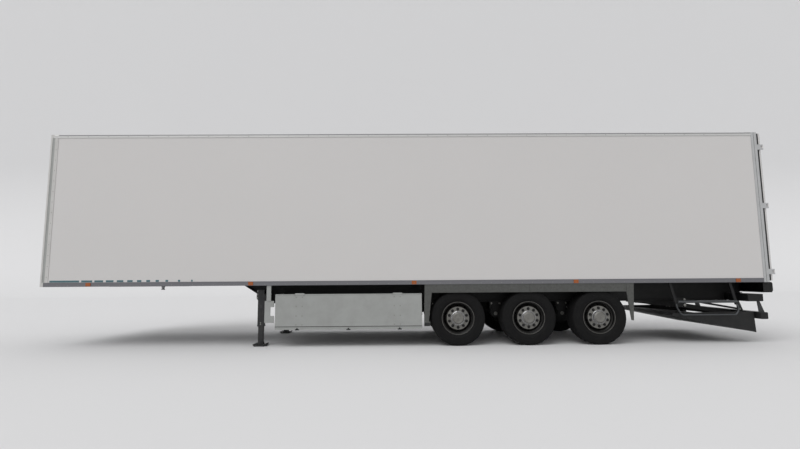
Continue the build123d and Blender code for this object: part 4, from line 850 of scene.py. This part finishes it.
class TRAILER_OT_doors(bpy.types.Operator):
    """Add the seals, rod guides, lock housings and hinge covers of the rear doors"""

    bl_idname = "trailer.doors"
    bl_label = "Door Details"

    def execute(self, context):
        seal = context.scene.trailer_rear.seal_width
        for side, name in SIDES:
            body = f"door_{name}"
            face = station(DOOR_FACE)
            near, far = 0.006, 1.270
            bottom, top = 1.150, 3.975
            strips = []
            for y_span, z_span in (
                    ((near, near + seal * 0.6), (bottom, top)),
                    ((far - seal, far), (bottom, top)),
                    ((near + seal * 0.6, far - seal), (bottom, bottom + seal)),
                    ((near + seal * 0.6, far - seal), (top - seal, top))):
                strips.append(side_bar(side, (face - SEAT, face + 0.003), y_span, z_span, 0.001))
            strips.append(side_bar(
                side, (face - 0.070, face - 0.028), (far, far + 0.005),
                (bottom + 0.002, top - 0.002), 0.001))
            complete(joined(strips), f"door_seals_{name}", "seal", body)
            guides = []
            bolts = []
            for y in LOCK_RODS:
                for z in (1.42, 2.05, 2.95, 3.80):
                    spot = side * y
                    guides.append(bar(
                        (face - 0.002, spot - 0.045, z - 0.025),
                        (face + 0.004, spot + 0.045, z + 0.025), 0.001))
                    guides.append(bar(
                        (face + 0.003, spot - 0.019, z - 0.020),
                        (face + 0.014, spot + 0.019, z + 0.020), 0.003))
                    for shift in (-0.034, 0.034):
                        bolts.append(bolt((face + 0.004, spot + shift, z), 0.006, 0.005, (1, 0, 0)))
            complete(joined(guides), f"rod_guides_{name}", "zinc", body)
            # Zinc cover strips lie on the hinge blades and stop short of the lock rod
            covers = []
            for z in HINGE_HEIGHTS:
                covers.append(side_bar(
                    side, (face + 0.007, face + 0.0088), (1.058, 1.240), (z - 0.0205, z + 0.0205), 0.0006))
                for y in (1.215, 1.150, 1.085):
                    bolts.append(bolt((face + 0.0088, side * y, z), 0.007, 0.003, (1, 0, 0)))
            complete(joined(covers), f"hinge_covers_{name}", "zinc", body)
            complete(joined(bolts), f"door_bolts_{name}", "zinc", body)
            # One lock housing takes the free ends of both handles, and clamps fix them on their rods
            middle = side * sum(LOCK_RODS) / 2
            z = HANDLE_HEIGHT
            housing = [
                bar((face - SEAT, middle - 0.090, z - 0.042), (face + 0.003, middle + 0.090, z + 0.042),
                    0.001),
                bar((face - SEAT, middle - 0.074, z - 0.030), (face + 0.0155, middle + 0.074, z + 0.030),
                    0.004, 2),
                rod((face + 0.015, middle, z), (face + 0.018, middle, z), 0.013, 20, 0.001)]
            for y in (-0.082, 0.082):
                for rise in (-0.032, 0.032):
                    housing.append(bolt((face + 0.003, middle + y, z + rise), 0.005, 0.004, (1, 0, 0)))
            for y in LOCK_RODS:
                spot = side * y
                housing.append(bar(
                    (face - 0.003, spot - 0.020, z - 0.030),
                    (face + 0.013, spot + 0.020, z + 0.030), 0.002))
            complete(joined(housing), f"handle_housing_{name}", "zinc", body)
        return {"FINISHED"}


class TRAILER_OT_rear(bpy.types.Operator):
    """Add the lamp lenses, buffers, blank plate, keepers and reflectors at the rear"""

    bl_idname = "trailer.rear"
    bl_label = "Rear Details"

    def execute(self, context):
        # Each lamp has an amber, a clear and two red fields
        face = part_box("tail_lamps")[1][0]
        for name, material, slot, fields in (
                ("turn", "orange", "lamp_orange", ((1.085, 1.193, 0.796, 0.879),)),
                ("reverse", "clear", "lamp_red", ((0.807, 0.865, 0.796, 0.879),)),
                ("brake", "red", "lamp_red", ((0.870, 1.080, 0.796, 0.834), (0.870, 1.080, 0.840, 0.879)))):
            lenses = [
                bar((face - SEAT, near, bottom), (face + 0.003, far, top), 0.0015)
                for near, far, bottom, top in fields]
            complete(both_sides(joined(lenses)), f"{name}_lenses", material)
        sill_low, sill_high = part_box("rear_sill")
        face = sill_high[0]
        buffers = [
            bar((face - 0.002, y, sill_low[2] + 0.022), (face + 0.045, y + 0.11, sill_high[2] - 0.012),
                0.012, 2)
            for y in (0.62, 1.12)]
        complete(both_sides(joined(buffers)), "rear_buffers", "seal")
        plate = bar((face - SEAT, -0.26, 0.965), (face + 0.002, 0.26, 1.075), 0.0008)
        complete(plate, "blank_plate", "post")
        rim = joined([
            bar((face - SEAT, near, bottom), (face + 0.006, far, top), 0.001)
            for near, far, bottom, top in (
                (-0.275, 0.275, 0.950, 0.964), (-0.275, 0.275, 1.076, 1.090),
                (-0.275, -0.261, 0.963, 1.077), (0.261, 0.275, 0.963, 1.077))])
        complete(rim, "plate_frame", "plastic")
        keepers = []
        for y in LOCK_RODS:
            keepers.append(bar((face - SEAT, y - 0.035, 1.082), (face + 0.004, y + 0.035, 1.140), 0.001))
            keepers.append(bar((face + 0.003, y - 0.030, 1.088), (face + 0.026, y - 0.022, 1.138), 0.002))
            keepers.append(bar((face + 0.003, y + 0.022, 1.088), (face + 0.026, y + 0.030, 1.138), 0.002))
            keepers.append(bar((face + 0.020, y - 0.024, 1.090), (face + 0.026, y + 0.024, 1.104), 0.001))
        complete(both_sides(joined(keepers)), "lock_keepers", "zinc")
        bumper_low, bumper_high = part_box("underrun_beam")
        face = bumper_high[0]
        y, z = 1.16, 0.505
        reflector = joined([
            rod((face - SEAT, y, z), (face + 0.008, y, z), 0.042, 24, 0.003),
            rod((face + 0.006, y, z), (face + 0.010, y, z), 0.034, 24, 0.002)])
        complete(both_sides(reflector), "rear_reflectors", "red")
        # Caps close the ends of the bumper's box section
        ends = bar(
            (bumper_low[0] + 0.004, bumper_high[1] - SEAT, 0.446),
            (face - 0.004, bumper_high[1] + 0.006, 0.562), 0.004)
        complete(both_sides(ends), "bumper_ends", "plastic")
        return {"FINISHED"}


class TRAILER_OT_chassis(bpy.types.Operator):
    """Add pipes, valve boxes, tank bands and bolts under the floor"""

    bl_idname = "trailer.chassis"
    bl_label = "Chassis Details"

    def execute(self, context):
        size = context.scene.trailer_chassis.bolt_radius
        y = 0.636
        pipes = [
            tube([(station(4.30), y, z), (station(7.2), y, z), (station(11.9 + 0.2 * index), y, z)], 0.007)
            for index, z in enumerate((1.060, 1.035, 1.010))]
        complete(joined(pipes), "air_pipes", "plastic")
        clip = bar((station(4.50), 0.626, 0.998), (station(4.53), 0.6465, 1.072), 0.002)
        clips = repeated(clip, [(0.8 * index, 0, 0) for index in range(10)])
        complete(clips, "pipe_clips", "zinc")
        boxes = [
            bar((station(x), -0.646, 0.93), (station(x + 0.16), -0.56, 1.06), 0.008, 2)
            for x in (7.42, 8.74, 10.05)]
        boxes.append(bar((station(11.3), -0.646, 0.93), (station(11.58), -0.53, 1.09), 0.010, 2))
        complete(joined(boxes), "valve_boxes", "plastic")
        tank_low, tank_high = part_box("air_tanks")
        middle_z = (tank_low[2] + tank_high[2]) / 2
        inner, outer = 0.1202, 0.1235
        band = turned([(0, inner), (0.035, inner), (0.035, outer), (0, outer), (0, inner)], steps=40)
        spots = [
            (x, y, middle_z) for x in (tank_low[0] + 0.12, tank_high[0] - 0.12) for y in (-0.25, 0.215)]
        complete(repeated(band, spots), "tank_bands", "zinc")
        centres = [wheel_centre("left", number) for number in AXLES]
        heads = []
        for centre in centres:
            for x in (-0.58, -0.42):
                heads.append(bolt((centre.x + x, -0.705, 0.735), size, 0.014))
            heads.append(bolt((centre.x - 0.50, -0.705, 0.54), size * 1.9, 0.022))
        complete(both_sides(joined(heads)), "hanger_bolts", "zinc")
        # U-bolts clamp each axle on its trailing arms
        clamps = []
        for centre in centres:
            near, far = centre.x - 0.074, centre.x + 0.074
            for y in (0.600, 0.700):
                corners = [(near, y, 0.385), (near, y, 0.572), (far, y, 0.572), (far, y, 0.385)]
                clamps.append(tube(corners, 0.010, bend=0.05))
        complete(both_sides(joined(clamps)), "axle_clamps", "zinc")
        # Sheet shields stand behind the brake discs; their flared rims reach out to the wheel's flange and
        # close the view through the wheel vents, a dark sheet that stands in for the shade seen there
        shields = []
        for centre in centres:
            shield = turned([
                (0.872, 0.096), (0.872, 0.262), (0.893, 0.300), (0.896, 0.299), (0.875, 0.260),
                (0.875, 0.096), (0.872, 0.096)], steps=40)
            shield.location = (centre.x, 0, centre.z)
            shields.append(settle(shield))
        complete(both_sides(joined(shields)), "brake_shields_and_vent_shade", "chassis")
        ring = []
        for index in range(8):
            angle = math.tau * index / 8
            spot = (station(KINGPIN) + 0.165 * math.cos(angle), 0.165 * math.sin(angle), 1.110)
            ring.append(bolt(spot, 0.012, 0.006, (0, 0, -1)))
        complete(joined(ring), "kingpin_bolts", "zinc")
        return {"FINISHED"}


class TRAILER_OT_tail_lift(bpy.types.Operator):
    """Add the pin heads, the pump with its hoses and the bolts of the tail lift"""

    bl_idname = "trailer.tail_lift"
    bl_label = "Tail Lift Details"

    def execute(self, context):
        heads = pin_heads(station(LIFT_HINGE[0]), 0.951, LIFT_HINGE[1])
        complete(heads, "platform_pin_heads", "zinc", "platform")
        heads = pin_heads(station(LIFT_BEARING[0]), 0.967, LIFT_BEARING[1])
        complete(heads, "bearing_pin_heads", "zinc")
        # A pump housing and its hoses sit on the bearing beam between the main beams
        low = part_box("lift_bearing")[0]
        pump = joined([
            bar((low[0] + 0.004, -0.30, 0.764), (low[0] + 0.106, 0.22, 0.905), 0.008, 2),
            bar((low[0] + 0.010, -0.29, 0.904), (low[0] + 0.100, 0.21, 0.912), 0.003),
            rod((low[0] + 0.055, 0.219, 0.830), (low[0] + 0.055, 0.330, 0.830), 0.045, 24, 0.006)])
        complete(pump, "lift_pump", "plastic")
        hoses = []
        for index in range(3):
            y = -0.20 + 0.06 * index
            hoses.append(tube([
                (low[0] + 0.055, y, 0.908), (low[0] + 0.055, y, 0.985), (low[0] + 0.20, y - 0.10, 0.985),
                (low[0] + 0.34, y - 0.34, 0.985), (low[0] + 0.62, -0.560 + 0.02 * index, 0.985)], 0.009))
        complete(joined(hoses), "lift_hoses", "seal")
        bolts = []
        for y in (0.600, 0.700):
            for x in (low[0] + 0.025, low[0] + 0.085):
                bolts.append(bolt((x, y, low[2] + SEAT), 0.012, 0.012, (0, 0, -1)))
        complete(both_sides(joined(bolts)), "bearing_bolts", "zinc")
        return {"FINISHED"}


class TRAILER_OT_inside(bpy.types.Operator):
    """Add the floor ribs, lashing rails and lamps inside the box"""

    bl_idname = "trailer.inside"
    bl_label = "Inside Details"

    def execute(self, context):
        low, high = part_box("floor_deck")
        top = high[2]
        rib = bar(
            (low[0] + 0.004, low[1] + 0.018, top - SEAT),
            (high[0] - 0.002, low[1] + 0.030, top + 0.003), 0.001)
        ribs = repeated(rib, [(0, 0.0505 * index, 0) for index in range(48)])
        complete(ribs, "floor_ribs", "planks")
        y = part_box("side_walls")[1][1] - 0.060
        rails = [
            bar((low[0] + 0.10, y - 0.004, z), (high[0] - 0.05, y + SEAT, z + 0.035), 0.0015)
            for z in (1.95, 2.95)]
        complete(both_sides(joined(rails)), "lashing_rails", "zinc")
        x, z = station(3.0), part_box("roof_panel")[0][2]
        lamp = joined([
            rod((x, 0, z + SEAT), (x, 0, z - 0.022), 0.085, 28, 0.005),
            rod((x, 0, z - 0.020), (x, 0, z - 0.030), 0.070, 28, 0.006)])
        lamps = repeated(lamp, [(3.6 * index, 0, 0) for index in range(3)])
        complete(lamps, "ceiling_lamps", "clear")
        return {"FINISHED"}


class TRAILER_OT_stage(bpy.types.Operator):
    """Set the camera, the floor with its backdrop and the lights"""

    bl_idname = "trailer.stage"
    bl_label = "Stage"

    def execute(self, context):
        scene = context.scene
        settings = scene.trailer_stage
        camera = bpy.data.cameras.new("camera")
        camera.lens = settings.lens
        camera.sensor_width = 36
        camera.sensor_fit = "HORIZONTAL"
        camera.clip_end = 300
        eye = bpy.data.objects.new("camera", camera)
        scene.collection.objects.link(eye)
        yaw, pitch, roll = (math.radians(angle) for angle in (-0.5675, 6.4038, -0.3869))
        turn = (Matrix.Rotation(yaw, 4, "Z") @ Matrix.Rotation(math.pi / 2 + pitch, 4, "X")
                @ Matrix.Rotation(roll, 4, "Z"))
        eye.matrix_world = Matrix.Translation((station(6.5592), -9.9787, 1.2652)) @ turn
        scene.camera = eye
        # One sheet is the floor, and its far edge is drawn up into the backdrop
        alone()
        bpy.ops.mesh.primitive_plane_add(size=2, location=(0, -27, 0))
        bpy.context.object.scale = (90, 60, 1)
        sweep = settle(bpy.context.object)
        bpy.ops.object.mode_set(mode="EDIT")
        bpy.ops.mesh.select_mode(type="EDGE")
        bpy.ops.mesh.select_all(action="DESELECT")
        bpy.ops.object.mode_set(mode="OBJECT")
        far = max(vertex.co.y for vertex in sweep.data.vertices)
        for edge in sweep.data.edges:
            edge.select = all(sweep.data.vertices[index].co.y > far - 0.1 for index in edge.vertices)
        bpy.ops.object.mode_set(mode="EDIT")
        bpy.ops.mesh.extrude_region_move(TRANSFORM_OT_translate={"value": (0, 0, 50)})
        bpy.ops.object.mode_set(mode="OBJECT")
        bend = sweep.modifiers.new("Bend", "BEVEL")
        bend.width = 12
        bend.segments = 24
        bend.angle_limit = math.radians(40)
        alone(sweep)
        bpy.ops.object.modifier_apply(modifier=bend.name)
        bpy.ops.object.shade_smooth()
        sweep.name = "floor_and_backdrop"
        paper = surface(
            "studio_floor", settings.floor_colour, 0.9, patch_mm=9000, patch=0.005, grain_mm=5, grain=0.0)
        sweep.data.materials.append(paper)
        # A wide soft sun from the front left, over an even sky
        sun = bpy.data.lights.new("soft_sun", "SUN")
        sun.energy = settings.key_strength
        sun.angle = math.radians(40)
        lamp = bpy.data.objects.new("soft_sun", sun)
        lamp.rotation_euler = (math.radians(38), math.radians(-12), math.radians(-20))
        scene.collection.objects.link(lamp)
        world = bpy.data.worlds.new("sky")
        scene.world = world
        world.use_nodes = True
        tree = world.node_tree
        tree.nodes.clear()
        # The sky lights the scene, and the camera and reflections see a plain pale grey in its place
        light = add(tree, "ShaderNodeBackground", {"Color": (1, 1, 1, 1), "Strength": 0.8})
        white = add(tree, "ShaderNodeBackground", {"Color": (0.82, 0.82, 0.82, 1), "Strength": 1.0})
        path = add(tree, "ShaderNodeLightPath")
        seen = path.outputs["Is Camera Ray"]
        for ray in ("Is Glossy Ray", "Is Transmission Ray"):
            both = add(tree, "ShaderNodeMath", {0: seen, 1: path.outputs[ray]}, operation="MAXIMUM")
            seen = both.outputs[0]
        mix = add(tree, "ShaderNodeMixShader", {0: seen, 1: light.outputs[0], 2: white.outputs[0]})
        add(tree, "ShaderNodeOutputWorld", {"Surface": mix.outputs[0]})
        scene.view_settings.view_transform = "Standard"
        return {"FINISHED"}


class TRAILER_PT_panel(bpy.types.Panel):
    """Sizes, colours and build steps of the trailer"""

    bl_label = "Trailer"
    bl_idname = "TRAILER_PT_panel"
    bl_space_type = "VIEW_3D"
    bl_region_type = "UI"
    bl_category = "Trailer"

    def draw(self, context):
        layout = self.layout
        for name in SETTINGS:
            settings = getattr(context.scene, name)
            for key in settings.__annotations__:
                layout.prop(settings, key)
        for operator in OPERATORS:
            layout.operator(operator.bl_idname)


SETTINGS = {
    "trailer_body": BodySettings,
    "trailer_wheel": WheelSettings,
    "trailer_rear": RearSettings,
    "trailer_chassis": ChassisSettings,
    "trailer_stage": StageSettings,
}
OPERATORS = (
    TRAILER_OT_surfaces, TRAILER_OT_tyres, TRAILER_OT_wheels, TRAILER_OT_body, TRAILER_OT_pallet_box,
    TRAILER_OT_landing_gear, TRAILER_OT_doors, TRAILER_OT_rear, TRAILER_OT_chassis, TRAILER_OT_tail_lift,
    TRAILER_OT_inside, TRAILER_OT_stage)


def register():
    for item in (*SETTINGS.values(), *OPERATORS, TRAILER_PT_panel):
        bpy.utils.register_class(item)
    for name, group in SETTINGS.items():
        setattr(bpy.types.Scene, name, bpy.props.PointerProperty(type=group))


def unregister():
    for name in SETTINGS:
        delattr(bpy.types.Scene, name)
    for item in reversed((*SETTINGS.values(), *OPERATORS, TRAILER_PT_panel)):
        bpy.utils.unregister_class(item)


def main():
    register()
    bpy.ops.trailer.surfaces()
    bpy.ops.trailer.tyres()
    bpy.ops.trailer.wheels()
    bpy.ops.trailer.body()
    bpy.ops.trailer.pallet_box()
    bpy.ops.trailer.landing_gear()
    bpy.ops.trailer.doors()
    bpy.ops.trailer.rear()
    bpy.ops.trailer.chassis()
    bpy.ops.trailer.tail_lift()
    bpy.ops.trailer.inside()
    bpy.ops.trailer.stage()


if __name__ == "__main__":
    main()
